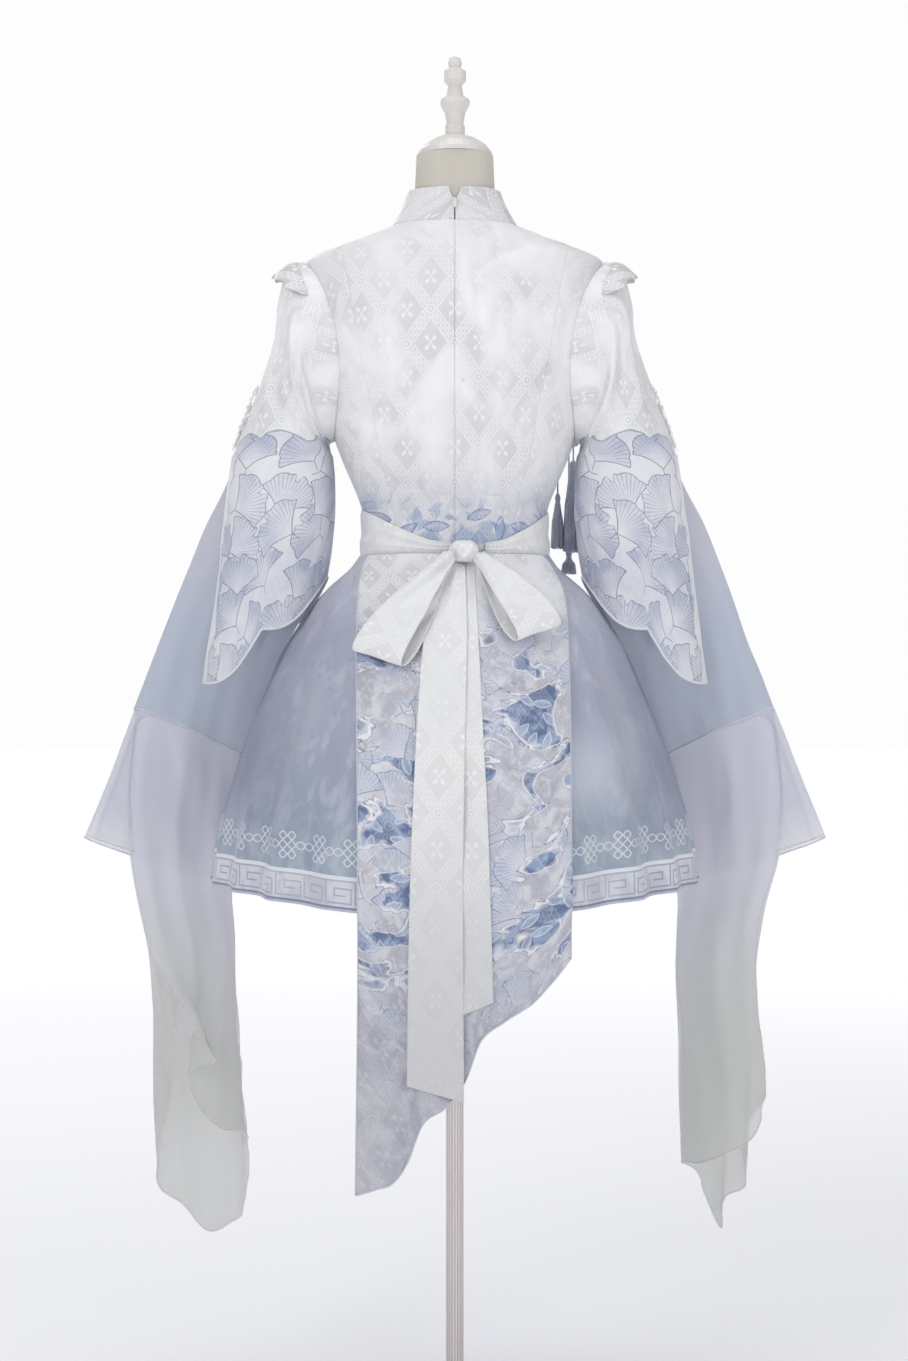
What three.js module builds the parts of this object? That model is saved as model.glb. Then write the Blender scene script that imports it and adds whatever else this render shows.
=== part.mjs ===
// A Chinese lolita dress set on a limbless dress form and stand, in millimetres, +Z up.
// The garment faces -Y, so its back and the bow face +Y. The wearer's left side is +X.
// The origin is the centre of the base's underside, on the floor.
import * as THREE from "three";

// ---- driving dimensions ----
const SEAM_GAP = 0.3; // clearance between pieces that are sewn edge to edge
const CLOTH = 1.5; // wall of the lined jacquard and printed cloth
const SHEER = 1.0; // wall of the organza
const LAY_GAP = 1.5; // clearance between a piece and the faceted piece it lies on

const BODICE_BOTTOM = 1094; // height of the waist seam
const NECK_HEIGHT = 1502; // height of the collar seam at the back
const FRONT_NECK_DROP = 45; // how far the collar seam falls from back to front
const FRONT_DROP_START = 1300; // height from which the front sections tilt down
const BODY_POWER = 2.3; // roundness of the bodice sections, 2 is an ellipse

const ARMHOLE_TOP = 1459;
const ARMHOLE_BOTTOM = 1236;
const ARMHOLE_BACK_DEPTH = 56;
const ARMHOLE_FRONT_DEPTH = 50;

const COLLAR_HEIGHT = 43;
const COLLAR_FOOT_GAP = 0.8; // clearance between the collar and the neckline
const COLLAR_LEAN = 21; // how far each side of the collar leans in by its top edge
const COLLAR_FRONT_LEAN = 0.45; // part of that lean at the centre front
const COLLAR_CURVE = 0.25; // how much the lean eases off towards the top edge
const COLLAR_BACK_GAP = 4.5; // half the opening between the collar's back corners, at the top
const BACK_CURVE_RADIUS = 60; // of the neckline at the centre back
const ZIP_CURVE_RADIUS = 75; // of the back along the zip
const WAIST_CURVE_RADIUS = 90; // of the waist at the centre back

const SKIRT_TOP = BODICE_BOTTOM - SEAM_GAP;
const HEM_HEIGHT = 682;

// ---- bodice sections, from the waist seam up ----
// z: height, side: half width, back and front: depths behind and before the centre
const BODY_ROWS = [
  { z: 1090, side: 117, back: 90, front: 88 },
  { z: 1120, side: 114, back: 88, front: 87 },
  { z: 1150, side: 116, back: 88, front: 90 },
  { z: 1180, side: 127, back: 92, front: 101 },
  { z: 1210, side: 140, back: 97, front: 114 },
  { z: 1240, side: 150, back: 101, front: 121 },
  { z: 1290, side: 155, back: 104, front: 119 },
  { z: 1340, side: 161, back: 104, front: 110 },
  { z: 1400, side: 172, back: 97, front: 98 },
  { z: 1440, side: 181, back: 84, front: 86 },
  { z: 1459, side: 184, back: 75, front: 80 },
  { z: 1470, side: 165, back: 70, front: 76 },
  { z: 1480, side: 137, back: 65, front: 73 },
  { z: 1491, side: 107, back: 61, front: 71 },
  { z: 1502, side: 79, back: 58, front: 70 },
];

// Half width of the centre back panels: x of the princess seam at each height.
const PRINCESS_SEAM = [
  { z: 1090, x: 70 },
  { z: 1150, x: 76 },
  { z: 1204, x: 90 },
  { z: 1276, x: 103 },
  { z: 1339, x: 117 },
  { z: 1404, x: 127 },
  { z: 1455, x: 137 },
  { z: 1478, x: 143 },
];

// ---- skirt sections, from the waist down ----
const SKIRT_ROWS = [
  { z: 680, side: 308, back: 298, front: 292 },
  { z: 740, side: 298, back: 288, front: 282 },
  { z: 800, side: 281, back: 271, front: 264 },
  { z: 870, side: 258, back: 246, front: 240 },
  { z: 930, side: 234, back: 221, front: 215 },
  { z: 980, side: 211, back: 197, front: 192 },
  { z: 1020, side: 186, back: 170, front: 166 },
  { z: 1050, side: 161, back: 139, front: 136 },
  { z: 1075, side: 132, back: 108, front: 106 },
  { z: 1094, side: 117, back: 90, front: 88 },
];

// Soft pleats: angle from the centre back, angular reach and depth at the hem.
const SKIRT_PLEATS = [
  { angle: 37, reach: 9, depth: 11 },
  { angle: 52, reach: 8, depth: 13 },
  { angle: 66, reach: 8, depth: 9 },
  { angle: 83, reach: 10, depth: 10 },
  { angle: 101, reach: 9, depth: 11 },
  { angle: 122, reach: 10, depth: 9 },
  { angle: 146, reach: 10, depth: 11 },
  { angle: 169, reach: 8, depth: 8 },
];

// ---- small helpers ----
const DEGREE = Math.PI / 180;
const TURN = Math.PI * 2;

const vec = (x, y, z) => new THREE.Vector3(x, y, z);
const mix = (a, b, t) => a + (b - a) * t;
const clamp = (value, low, high) => Math.min(high, Math.max(low, value));
const signedPower = (value, power) => Math.sign(value) * Math.abs(value) ** power;

function smoothStep(value) {
  const t = clamp(value, 0, 1);
  return t * t * (3 - 2 * t);
}

// Reads a column of a table at a key, along a smooth curve through its rows.
function lookUp(rows, keyName, key, column) {
  const last = rows.length - 1;
  let i = 0;
  while (i < last - 1 && key > rows[i + 1][keyName]) i += 1;
  const before = rows[Math.max(i - 1, 0)];
  const a = rows[i];
  const b = rows[i + 1];
  const after = rows[Math.min(i + 2, last)];
  const span = b[keyName] - a[keyName];
  const t = clamp((key - a[keyName]) / span, 0, 1);
  const slopeA = ((b[column] - before[column]) / (b[keyName] - before[keyName])) * span;
  const slopeB = ((after[column] - a[column]) / (after[keyName] - a[keyName])) * span;
  const t2 = t * t;
  const t3 = t2 * t;
  return (
    (2 * t3 - 3 * t2 + 1) * a[column] +
    (t3 - 2 * t2 + t) * slopeA +
    (3 * t2 - 2 * t3) * b[column] +
    (t3 - t2) * slopeB
  );
}

const even = (count) => Array.from({ length: count + 1 }, (_, i) => i / count);
const between = (low, high, count) => even(count).map((t) => mix(low, high, t));

// ---- the cloth wall ----
// The outward normal of a surface fn(u, v), where outside lies to the side of sign.
const NORMAL_STEP = 1e-3;

function normalAt(fn, u, v, sign) {
  const alongU = fn(u + NORMAL_STEP, v).sub(fn(u - NORMAL_STEP, v));
  const alongV = fn(u, v + NORMAL_STEP).sub(fn(u, v - NORMAL_STEP));
  return alongU.cross(alongV).normalize().multiplyScalar(sign);
}

// A surface moved out along its own normal by lift, a number or a function of u and v.
function lifted(fn, sign, lift) {
  const amount = typeof lift === "function" ? lift : () => lift;
  return (u, v) => fn(u, v).addScaledVector(normalAt(fn, u, v, sign), amount(u, v));
}

// A closed wall of even thickness: its outer face follows fn over the stations us and vs.
// A closed wall joins its last column to its first and has only a top and a bottom rim.
function clothWall(fn, us, vs, { thickness = CLOTH, sign = 1, closed = false } = {}) {
  const columns = closed ? us.length - 1 : us.length;
  const rows = vs.length;
  const outer = [];
  const inner = [];
  for (const v of vs) {
    for (let i = 0; i < columns; i += 1) {
      const point = fn(us[i], v);
      outer.push(point);
      inner.push(point.clone().addScaledVector(normalAt(fn, us[i], v, sign), -thickness));
    }
  }
  const positions = [];
  for (const point of outer.concat(inner)) positions.push(point.x, point.y, point.z);
  const innerStart = outer.length;
  const at = (i, j) => j * columns + (i % columns);
  const faces = [];
  const quad = (a, b, c, d) => faces.push(a, b, c, a, c, d);
  const steps = closed ? columns : columns - 1;
  for (let j = 0; j < rows - 1; j += 1) {
    for (let i = 0; i < steps; i += 1) {
      const corner = [at(i, j), at(i + 1, j), at(i + 1, j + 1), at(i, j + 1)];
      quad(...corner);
      const [p, q, r, s] = corner.map((index) => index + innerStart);
      quad(p, s, r, q);
    }
  }
  for (let i = 0; i < steps; i += 1) {
    const top = rows - 1;
    quad(at(i + 1, 0), at(i, 0), at(i, 0) + innerStart, at(i + 1, 0) + innerStart);
    quad(at(i, top), at(i + 1, top), at(i + 1, top) + innerStart, at(i, top) + innerStart);
  }
  if (!closed) {
    const end = columns - 1;
    for (let j = 0; j < rows - 1; j += 1) {
      quad(at(0, j), at(0, j + 1), at(0, j + 1) + innerStart, at(0, j) + innerStart);
      quad(at(end, j + 1), at(end, j), at(end, j) + innerStart, at(end, j + 1) + innerStart);
    }
  }
  return facingOut(positions, faces);
}

// Turns a closed mesh right side out by its signed volume.
function facingOut(positions, faces) {
  const corner = (index) => vec(...positions.slice(index * 3, index * 3 + 3));
  let volume = 0;
  for (let i = 0; i < faces.length; i += 3) {
    const [a, b, c] = [corner(faces[i]), corner(faces[i + 1]), corner(faces[i + 2])];
    volume += a.dot(b.cross(c));
  }
  const geometry = new THREE.BufferGeometry();
  geometry.setAttribute("position", new THREE.Float32BufferAttribute(positions, 3));
  geometry.setIndex(volume < 0 ? faces.slice().reverse() : faces);
  return geometry;
}

// A capped solid through rings of points, each a function of the turn 0..1.
function solidLoft(ringAt, levels, segments) {
  const positions = [];
  const faces = [];
  for (const level of levels) {
    for (let i = 0; i < segments; i += 1) positions.push(...ringAt(i / segments, level).toArray());
  }
  const middle = (level) => {
    const centre = vec(0, 0, 0);
    for (let i = 0; i < segments; i += 1) centre.add(ringAt(i / segments, level));
    return centre.divideScalar(segments);
  };
  const bottom = positions.length / 3;
  positions.push(...middle(levels[0]).toArray());
  const top = bottom + 1;
  positions.push(...middle(levels[levels.length - 1]).toArray());
  const lastRow = (levels.length - 1) * segments;
  for (let i = 0; i < segments; i += 1) {
    const next = (i + 1) % segments;
    for (let j = 0; j < levels.length - 1; j += 1) {
      const low = j * segments;
      const high = low + segments;
      faces.push(low + i, low + next, high + next, low + i, high + next, high + i);
    }
    faces.push(bottom, next, i);
    faces.push(top, lastRow + i, lastRow + next);
  }
  return facingOut(positions, faces);
}

// A turned solid: rows of height and radius, closed on the axis at both ends.
function turned(rows, segments) {
  const profile = [new THREE.Vector2(0, rows[0].z)];
  for (const row of rows) profile.push(new THREE.Vector2(row.r, row.z));
  profile.push(new THREE.Vector2(0, rows[rows.length - 1].z));
  const geometry = new THREE.LatheGeometry(profile, segments);
  geometry.rotateX(Math.PI / 2);
  return geometry;
}

// ---- the parts list ----
const COLOURS = {
  jacquard: { color: "#e9e9ee", roughness: 0.42 },
  print: { color: "#c9cbdb", roughness: 0.5 },
  skirtCloth: { color: "#a9b1c8", roughness: 0.6 },
  sashCloth: { color: "#e6e6e0", roughness: 0.45 },
  organza: { color: "#b3bacb", roughness: 0.7 },
  organzaPale: { color: "#c4c6c8", roughness: 0.7 },
  trim: { color: "#f0f0f2", roughness: 0.5 },
  tassel: { color: "#9c9fba", roughness: 0.6 },
  zipper: { color: "#e4e4e6", roughness: 0.5 },
  pull: { color: "#f2f2f4", roughness: 0.3 },
  linen: { color: "#ccc4b8", roughness: 0.9 },
  paint: { color: "#e8e4de", roughness: 0.35 },
  pole: { color: "#c9bfbb", roughness: 0.35 },
};

const group = new THREE.Group();

function add(name, finish, geometry) {
  const material = new THREE.MeshStandardMaterial({ ...COLOURS[finish], metalness: 0 });
  const mesh = new THREE.Mesh(geometry, material);
  mesh.name = name;
  group.add(mesh);
  return mesh;
}

// The mirror image of a geometry across the plane x = 0.
function mirrored(geometry) {
  const copy = geometry.clone();
  copy.scale(-1, 1, 1);
  copy.setIndex(Array.from(copy.index.array).reverse());
  return copy;
}

function addPair(name, finish, geometry) {
  add(`${name}_left`, finish, geometry);
  add(`${name}_right`, finish, mirrored(geometry));
}

// ---- bodice ----
// A point of the bodice's outer face. The angle runs from the centre back, 0, by the
// wearer's left side, 90 degrees, to the centre front, 180 degrees.
function bodyPoint(angle, z) {
  const side = lookUp(BODY_ROWS, "z", z, "side");
  const depth = lookUp(BODY_ROWS, "z", z, Math.cos(angle) >= 0 ? "back" : "front");
  const power = 2 / BODY_POWER;
  const drop = FRONT_NECK_DROP * smoothStep((z - FRONT_DROP_START) / (NECK_HEIGHT - FRONT_DROP_START));
  const toFront = Math.max(0, -Math.cos(angle)) ** 1.5;
  return vec(
    side * signedPower(Math.sin(angle), power),
    depth * signedPower(Math.cos(angle), power),
    z - drop * toFront,
  );
}

// The angle at which a section reaches a given x, or a given depth y.
function angleAtX(x, z) {
  const side = lookUp(BODY_ROWS, "z", z, "side");
  return Math.asin(clamp(x / side, 0, 1) ** (BODY_POWER / 2));
}

function angleAtDepth(y, z, column) {
  const depth = lookUp(BODY_ROWS, "z", z, column);
  return Math.acos(clamp(y / depth, 0, 1) ** (BODY_POWER / 2));
}

// How far the armhole reaches from the side line at a height, 0 outside it.
function armholeDepth(z, deepest) {
  const middle = (ARMHOLE_TOP + ARMHOLE_BOTTOM) / 2;
  const half = (ARMHOLE_TOP - ARMHOLE_BOTTOM) / 2;
  const t = (z - middle) / half;
  return Math.abs(t) >= 1 ? 0 : deepest * Math.sqrt(1 - t * t);
}

const backArmAngle = (z) => angleAtDepth(armholeDepth(z, ARMHOLE_BACK_DEPTH), z, "back");
const frontArmAngle = (z) => Math.PI - angleAtDepth(armholeDepth(z, ARMHOLE_FRONT_DEPTH), z, "front");

const seamAngle = (z) => SEAM_GAP / lookUp(BODY_ROWS, "z", z, "side");

const ARMHOLE_LEVELS = [ARMHOLE_BOTTOM, 1243, 1270, 1304, 1347.5, 1391, 1425, 1452, ARMHOLE_TOP];
const BODICE_LEVELS = [BODICE_BOTTOM, 1125, 1150, 1180, 1208, ...ARMHOLE_LEVELS];
const SHOULDER_LEVELS = [1470, 1480, 1491, NECK_HEIGHT];

// A bodice panel over levels, between two seams given as angles by height.
function bodicePanel(fromAngle, toAngle, levels, columns) {
  const surface = (u, z) => bodyPoint(mix(fromAngle(z), toAngle(z), u), z);
  return clothWall(surface, even(columns), levels, { sign: -1 });
}

const princessAngle = (z) => angleAtX(lookUp(PRINCESS_SEAM, "z", z, "x"), z);
const SEAM_TOP = 1477; // where the princess seam runs out at the shoulder

addPair(
  "back",
  "jacquard",
  bodicePanel(
    (z) => seamAngle(z) / 2,
    (z) => princessAngle(z) - seamAngle(z) / 2,
    [...BODICE_LEVELS, 1466, SEAM_TOP, 1484, 1493, NECK_HEIGHT],
    4,
  ),
);
addPair(
  "side_back",
  "jacquard",
  bodicePanel(
    (z) => princessAngle(z) + seamAngle(z) / 2,
    (z) => backArmAngle(z) - seamAngle(z) / 2,
    [...BODICE_LEVELS, 1466, SEAM_TOP],
    2,
  ),
);
add(
  "front",
  "jacquard",
  bodicePanel(
    (z) => frontArmAngle(z) + seamAngle(z) / 2,
    (z) => TURN - frontArmAngle(z) - seamAngle(z) / 2,
    [...BODICE_LEVELS, ...SHOULDER_LEVELS],
    10,
  ),
);

// ---- stand collar ----
// One band round the neck, open in a notch at the centre back.
function collarPoint(turn, rise) {
  const open = mix(SEAM_GAP, COLLAR_BACK_GAP, smoothStep(rise * 2 - 1)) / BACK_CURVE_RADIUS;
  const angle = mix(open, TURN - open, turn);
  const foot = bodyPoint(angle, NECK_HEIGHT);
  const eased = (rise - COLLAR_CURVE * rise * rise) / (1 - COLLAR_CURVE);
  const lean = COLLAR_LEAN * eased * mix(COLLAR_FRONT_LEAN, 1, Math.abs(Math.sin(angle)));
  const out = vec(foot.x, foot.y, 0).normalize();
  const up = COLLAR_FOOT_GAP + COLLAR_HEIGHT * rise;
  return foot.addScaledVector(out, -lean).add(vec(0, 0, up));
}

add("collar", "jacquard", clothWall(collarPoint, even(20), [0, 0.5, 1], { sign: -1 }));

// ---- skirt ----
// How far the pleats pull the cloth in at an angle.
function pleatPull(angle, z) {
  const around = Math.abs(angle) / DEGREE;
  const growth = smoothStep((SKIRT_TOP - z) / (SKIRT_TOP - HEM_HEIGHT)) ** 0.7;
  let pull = 0;
  for (const pleat of SKIRT_PLEATS) {
    const away = Math.min(1, Math.abs(around - pleat.angle) / pleat.reach);
    pull += pleat.depth * 0.5 * (1 + Math.cos(Math.PI * away));
  }
  return pull * growth;
}

const WAIST_BLEND = 90; // height over which the waist's section turns into an ellipse

function skirtPoint(angle, z) {
  const side = lookUp(SKIRT_ROWS, "z", z, "side");
  const depth = lookUp(SKIRT_ROWS, "z", z, Math.cos(angle) >= 0 ? "back" : "front");
  const wrapped = angle > Math.PI ? TURN - angle : angle;
  const keep = 1 - pleatPull(wrapped, z) / side;
  const power = 2 / mix(BODY_POWER, 2, smoothStep((SKIRT_TOP - z) / WAIST_BLEND));
  return vec(
    side * keep * signedPower(Math.sin(angle), power),
    depth * keep * signedPower(Math.cos(angle), power),
    z,
  );
}

const SKIRT_LEVELS = [HEM_HEIGHT, 765, 850, 925, 985, 1030, 1066, SKIRT_TOP];
const SKIRT_SIDE_SEAM = 92; // angle of the side seam from the centre back
const SKIRT_SEAM_GAP = 0.2; // degrees between neighbouring panels

function skirtPanel(fromDegrees, toDegrees, columns) {
  const surface = (u, z) => skirtPoint(mix(fromDegrees, toDegrees, u) * DEGREE, z);
  return clothWall(surface, even(columns), SKIRT_LEVELS, { sign: -1 });
}

addPair("skirt_back", "skirtCloth", skirtPanel(SKIRT_SEAM_GAP, SKIRT_SIDE_SEAM - SKIRT_SEAM_GAP, 14));
addPair("skirt_front", "skirtCloth", skirtPanel(SKIRT_SIDE_SEAM, 180 - SKIRT_SEAM_GAP, 9));

// ---- hanging back panel and the sash's tails ----
// The back of the skirt without pleats, which the hanging pieces lie on.
function skirtBack(x, z) {
  const level = Math.max(z, HEM_HEIGHT);
  const side = lookUp(SKIRT_ROWS, "z", level, "side");
  const depth = lookUp(SKIRT_ROWS, "z", level, "back");
  const power = mix(BODY_POWER, 2, smoothStep((SKIRT_TOP - level) / WAIST_BLEND));
  const sway = Math.max(0, HEM_HEIGHT - z) * HANG_SWAY;
  return depth * Math.max(0, 1 - Math.abs(x / side) ** power) ** (1 / power) - sway;
}

const HANG_SWAY = 0.02; // the free cloth below the hem falls in a little towards the pole

// A strip that hangs over the skirt's back: rows of height and the x of its two edges.
// Below the skirt's hem it ends at the lowest row, raised by riseAt across its width.
function hangingStrip(rows, levels, columns, lift, riseAt) {
  const lowest = levels[0];
  const surface = (u, z) => {
    const left = lookUp(rows, "z", z, "left");
    const right = lookUp(rows, "z", z, "right");
    const below = Math.max(0, HEM_HEIGHT - z) / (HEM_HEIGHT - lowest);
    const height = z + below * riseAt(u);
    const x = mix(left, right, u);
    return vec(x, skirtBack(x, height), height);
  };
  return clothWall(lifted(surface, 1, lift), even(columns), levels, { sign: 1 });
}

const PANEL_ROWS = [
  { z: 352, left: 112, right: -131 },
  { z: 600, left: 109, right: -131 },
  { z: 760, left: 110, right: -132 },
  { z: 950, left: 114, right: -133 },
  { z: 1040, left: 115, right: -130 },
  { z: 1075, left: 111, right: -116 },
  { z: 1089, left: 104, right: -106 },
];

// The slanted, scalloped bottom edge: how far it stands above the long corner.
const PANEL_HEM = [
  { u: 0, rise: 0 },
  { u: 0.1, rise: 9 },
  { u: 0.17, rise: 16 },
  { u: 0.24, rise: 40 },
  { u: 0.31, rise: 84 },
  { u: 0.42, rise: 104 },
  { u: 0.51, rise: 134 },
  { u: 0.58, rise: 178 },
  { u: 0.68, rise: 198 },
  { u: 0.82, rise: 220 },
  { u: 0.92, rise: 244 },
  { u: 1, rise: 268 },
];

const PANEL_LEVELS = [352, 440, 530, 610, ...SKIRT_LEVELS.slice(0, -1), 1089];
const panelHem = (u) => lookUp(PANEL_HEM, "u", clamp(u, 0, 1), "rise");
const PANEL_LIFT = LAY_GAP + CLOTH;
add("back_panel", "print", hangingStrip(PANEL_ROWS, PANEL_LEVELS, 11, PANEL_LIFT, panelHem));

const SHORT_TAIL_ROWS = [
  { z: 555, left: 2, right: -43 },
  { z: 740, left: 0, right: -38 },
  { z: 900, left: -2, right: -31 },
  { z: 1074, left: -8, right: -23 },
];
const LONG_TAIL_ROWS = [
  { z: 462, left: 53, right: -10 },
  { z: 720, left: 49, right: -9 },
  { z: 900, left: 41, right: -12 },
  { z: 1000, left: 32, right: -14 },
  { z: 1040, left: 15, right: -13 },
  { z: 1074, left: 5, right: -12 },
];
const TAIL_LAY = 0.7; // clearance between the tails, and between them and the panel
const SHORT_TAIL_LIFT = PANEL_LIFT + TAIL_LAY + CLOTH;
const LONG_TAIL_LIFT = SHORT_TAIL_LIFT + TAIL_LAY + CLOTH;
const TAIL_TOP = 1071.2;
const TAIL_LEVELS = [...SKIRT_LEVELS.slice(0, -2), TAIL_TOP];
const TAIL_SLANT = 17; // how much lower a tail's left or right corner hangs
const shortTailHem = (u) => TAIL_SLANT * u;
add(
  "tail_short",
  "sashCloth",
  hangingStrip(SHORT_TAIL_ROWS, [557, 620, ...TAIL_LEVELS], 2, SHORT_TAIL_LIFT, shortTailHem),
);
const longTailHem = (u) => TAIL_SLANT * (1 - u);
add(
  "tail_long",
  "sashCloth",
  hangingStrip(LONG_TAIL_ROWS, [463, 540, 610, ...TAIL_LEVELS], 2, LONG_TAIL_LIFT, longTailHem),
);

// ---- sash ----
// The band's upper and lower edge by angle from the knot, drawn together at the back.
const SASH_ROWS = [
  { around: 0, low: 1095.5, high: 1104 },
  { around: 12, low: 1095.5, high: 1108 },
  { around: 30, low: 1095.5, high: 1121 },
  { around: 60, low: 1095.5, high: 1141 },
  { around: 90, low: 1095.5, high: 1149 },
  { around: 180, low: 1095.5, high: 1153 },
];
const KNOT_X = -11;
const KNOT_HALF_WIDTH = 18;
const SASH_LAY = 1.8; // clearance between the sash and the bodice
const SASH_LIFT = SASH_LAY + CLOTH;
const SASH_END_GAP = 1.9; // clearance between the sash's ends and the knot

function sashPoint(turn, across) {
  const clear = (KNOT_HALF_WIDTH + SASH_END_GAP) / WAIST_CURVE_RADIUS;
  const knotAngle = KNOT_X / WAIST_CURVE_RADIUS;
  const angle = mix(clear + knotAngle, TURN - clear + knotAngle, turn);
  const around = Math.min(turn, 1 - turn) * 360;
  const low = lookUp(SASH_ROWS, "around", around, "low");
  const high = lookUp(SASH_ROWS, "around", around, "high");
  return bodyPoint(angle, mix(low, high, across));
}

add(
  "sash",
  "sashCloth",
  clothWall(lifted(sashPoint, -1, SASH_LIFT), even(24), even(2), { sign: -1 }),
);

// ---- bow ----
const KNOT_Y = 114.4; // centre of the knot behind the waist, at its middle height
const KNOT_Z = 1092.5;
const KNOT_DEPTH = 14;
const KNOT_HEIGHT = 13.5;
const KNOT_SLOPE = 6; // how far its lower end stands out over the skirt

function knotRing(turn, level) {
  const angle = turn * TURN;
  const round = Math.sqrt(1 - 0.75 * level ** 4);
  const x = KNOT_HALF_WIDTH * signedPower(Math.cos(angle), 0.8) * round;
  const y = KNOT_DEPTH * signedPower(Math.sin(angle), 0.8) * round;
  return vec(KNOT_X + x, KNOT_Y - level * KNOT_SLOPE + y, KNOT_Z + level * KNOT_HEIGHT);
}

add("bow_knot", "sashCloth", solidLoft(knotRing, [-1, -0.7, -0.2, 0.3, 0.7, 1], 12));

// A loop of the bow: a strip that leaves the knot, turns back at its far end and returns
// behind itself. u runs along the strip and v across it.
const LOOP_END = 0.94; // part of the half turn at which the strip enters the knot
const LOOP_WALL = 1.2;
const LOOP_FULLNESS = 0.55; // below 1 the loop's end is blunt

function loopWall({ root, tip, rootWidth, tipWidth, bulge, arch, tilt }) {
  const length = root.distanceTo(tip);
  const forward = tip.clone().sub(root).normalize();
  const outward = vec(0, 1, 0).addScaledVector(forward, -forward.y).normalize();
  const across = outward.clone().cross(forward).normalize();
  const surface = (u, v) => {
    const angle = mix(-LOOP_END, LOOP_END, u) * Math.PI;
    const reach = (0.5 * (1 + Math.cos(angle))) ** LOOP_FULLNESS;
    const open = Math.sin(angle) * bulge * (0.35 + 0.65 * reach) + arch * Math.sin(Math.PI * reach);
    const width = mix(rootWidth, tipWidth, smoothStep(reach)) * (v - 0.5);
    return root
      .clone()
      .addScaledVector(forward, length * reach)
      .addScaledVector(outward, open + width * tilt * reach)
      .addScaledVector(across, width);
  };
  return clothWall(surface, even(14), even(2), { sign: 1, thickness: LOOP_WALL });
}

add(
  "bow_loop_left",
  "sashCloth",
  loopWall({
    root: vec(KNOT_X + KNOT_HALF_WIDTH - 6.2, 118, 1095),
    tip: vec(90, 206, 964),
    rootWidth: 16,
    tipWidth: 58,
    bulge: 10,
    arch: 20,
    tilt: 0.6,
  }),
);
add(
  "bow_loop_right",
  "sashCloth",
  loopWall({
    root: vec(KNOT_X - KNOT_HALF_WIDTH + 4.2, 118, 1092),
    tip: vec(-98, 190, 994),
    rootWidth: 16,
    tipWidth: 52,
    bulge: 9,
    arch: 19,
    tilt: -0.6,
  }),
);

// ---- sleeves ----
// Each section is an oval between an outer and an inner point of the arm's tube; deep is
// half its thickness across. The first section is the armhole itself.
const SLEEVE_ROWS = [
  { outX: 206, outY: -2, outZ: 1452, inX: 157, inY: 0, inZ: 1232, deep: 61 },
  { outX: 219, outY: -4, outZ: 1412, inX: 158, inY: 0, inZ: 1228, deep: 64 },
  { outX: 226, outY: -5, outZ: 1362, inX: 157, inY: 0, inZ: 1225, deep: 63 },
  { outX: 246, outY: -6, outZ: 1303, inX: 155, inY: 0, inZ: 1221, deep: 60 },
  { outX: 263, outY: -6, outZ: 1258, inX: 153, inY: 0, inZ: 1218, deep: 58 },
  { outX: 277, outY: -6, outZ: 1219, inX: 152, inY: 0, inZ: 1215, deep: 56 },
];

function tubeRing(row, turn, power = 1) {
  const angle = turn * TURN;
  const outer = vec(row.outX, row.outY, row.outZ);
  const inner = vec(row.inX, row.inY, row.inZ);
  const half = outer.clone().sub(inner).multiplyScalar(0.5);
  const flat = Math.hypot(half.x, half.y);
  const across = vec(-half.y / flat, half.x / flat, 0);
  return outer
    .add(inner)
    .multiplyScalar(0.5)
    .addScaledVector(half, signedPower(Math.cos(angle), power))
    .addScaledVector(across, row.deep * signedPower(Math.sin(angle), power));
}

// A point of the armhole, just inside the bodice's cut edge.
function armholePoint(turn) {
  const angle = turn * TURN;
  const middle = (ARMHOLE_TOP + ARMHOLE_BOTTOM) / 2;
  const half = (ARMHOLE_TOP - ARMHOLE_BOTTOM) / 2 - 2 * SEAM_GAP * Math.cos(angle) ** 8;
  const z = middle + half * Math.cos(angle);
  const gap = seamAngle(z);
  const onBack = Math.sin(angle) >= 0;
  return bodyPoint(onBack ? backArmAngle(z) + gap : frontArmAngle(z) - gap, z);
}

// A smooth curve through points, read at a place counted in points.
function throughPoints(points, place) {
  const last = points.length - 1;
  const i = clamp(Math.floor(place), 0, last - 1);
  const t = place - i;
  const a = points[i];
  const b = points[i + 1];
  const before = points[Math.max(i - 1, 0)];
  const after = points[Math.min(i + 2, last)];
  const slopeA = b.clone().sub(before).multiplyScalar(i > 0 ? 0.5 : 1);
  const slopeB = after.clone().sub(a).multiplyScalar(i < last - 1 ? 0.5 : 1);
  const t2 = t * t;
  const t3 = t2 * t;
  return a
    .clone()
    .multiplyScalar(2 * t3 - 3 * t2 + 1)
    .addScaledVector(slopeA, t3 - 2 * t2 + t)
    .addScaledVector(b, 3 * t2 - 2 * t3)
    .addScaledVector(slopeB, t3 - t2);
}

const wrapTurn = (turn) => turn - Math.floor(turn);

function sleevePoint(turn, place) {
  const around = wrapTurn(turn);
  const points = [armholePoint(around), ...SLEEVE_ROWS.map((row) => tubeRing(row, around))];
  return throughPoints(points, place);
}

// The sleeve's columns meet the bodice at the armhole's own levels.
function armholeTurns() {
  const middle = (ARMHOLE_TOP + ARMHOLE_BOTTOM) / 2;
  const half = (ARMHOLE_TOP - ARMHOLE_BOTTOM) / 2;
  const onBack = ARMHOLE_LEVELS.map((z) => Math.acos(clamp((z - middle) / half, -1, 1)) / TURN).reverse();
  const onFront = onBack.slice(0, -1).map((turn) => 1 - turn).reverse();
  return [...onBack, ...onFront];
}

const SLEEVE_TURNS = armholeTurns();
const SLEEVE_PLACES = [0, 0.5, 1, 2, 3, 4, 5, 6];
const sleeveOptions = { sign: -1, closed: true };
addPair("sleeve", "jacquard", clothWall(sleevePoint, SLEEVE_TURNS, SLEEVE_PLACES, sleeveOptions));

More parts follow.
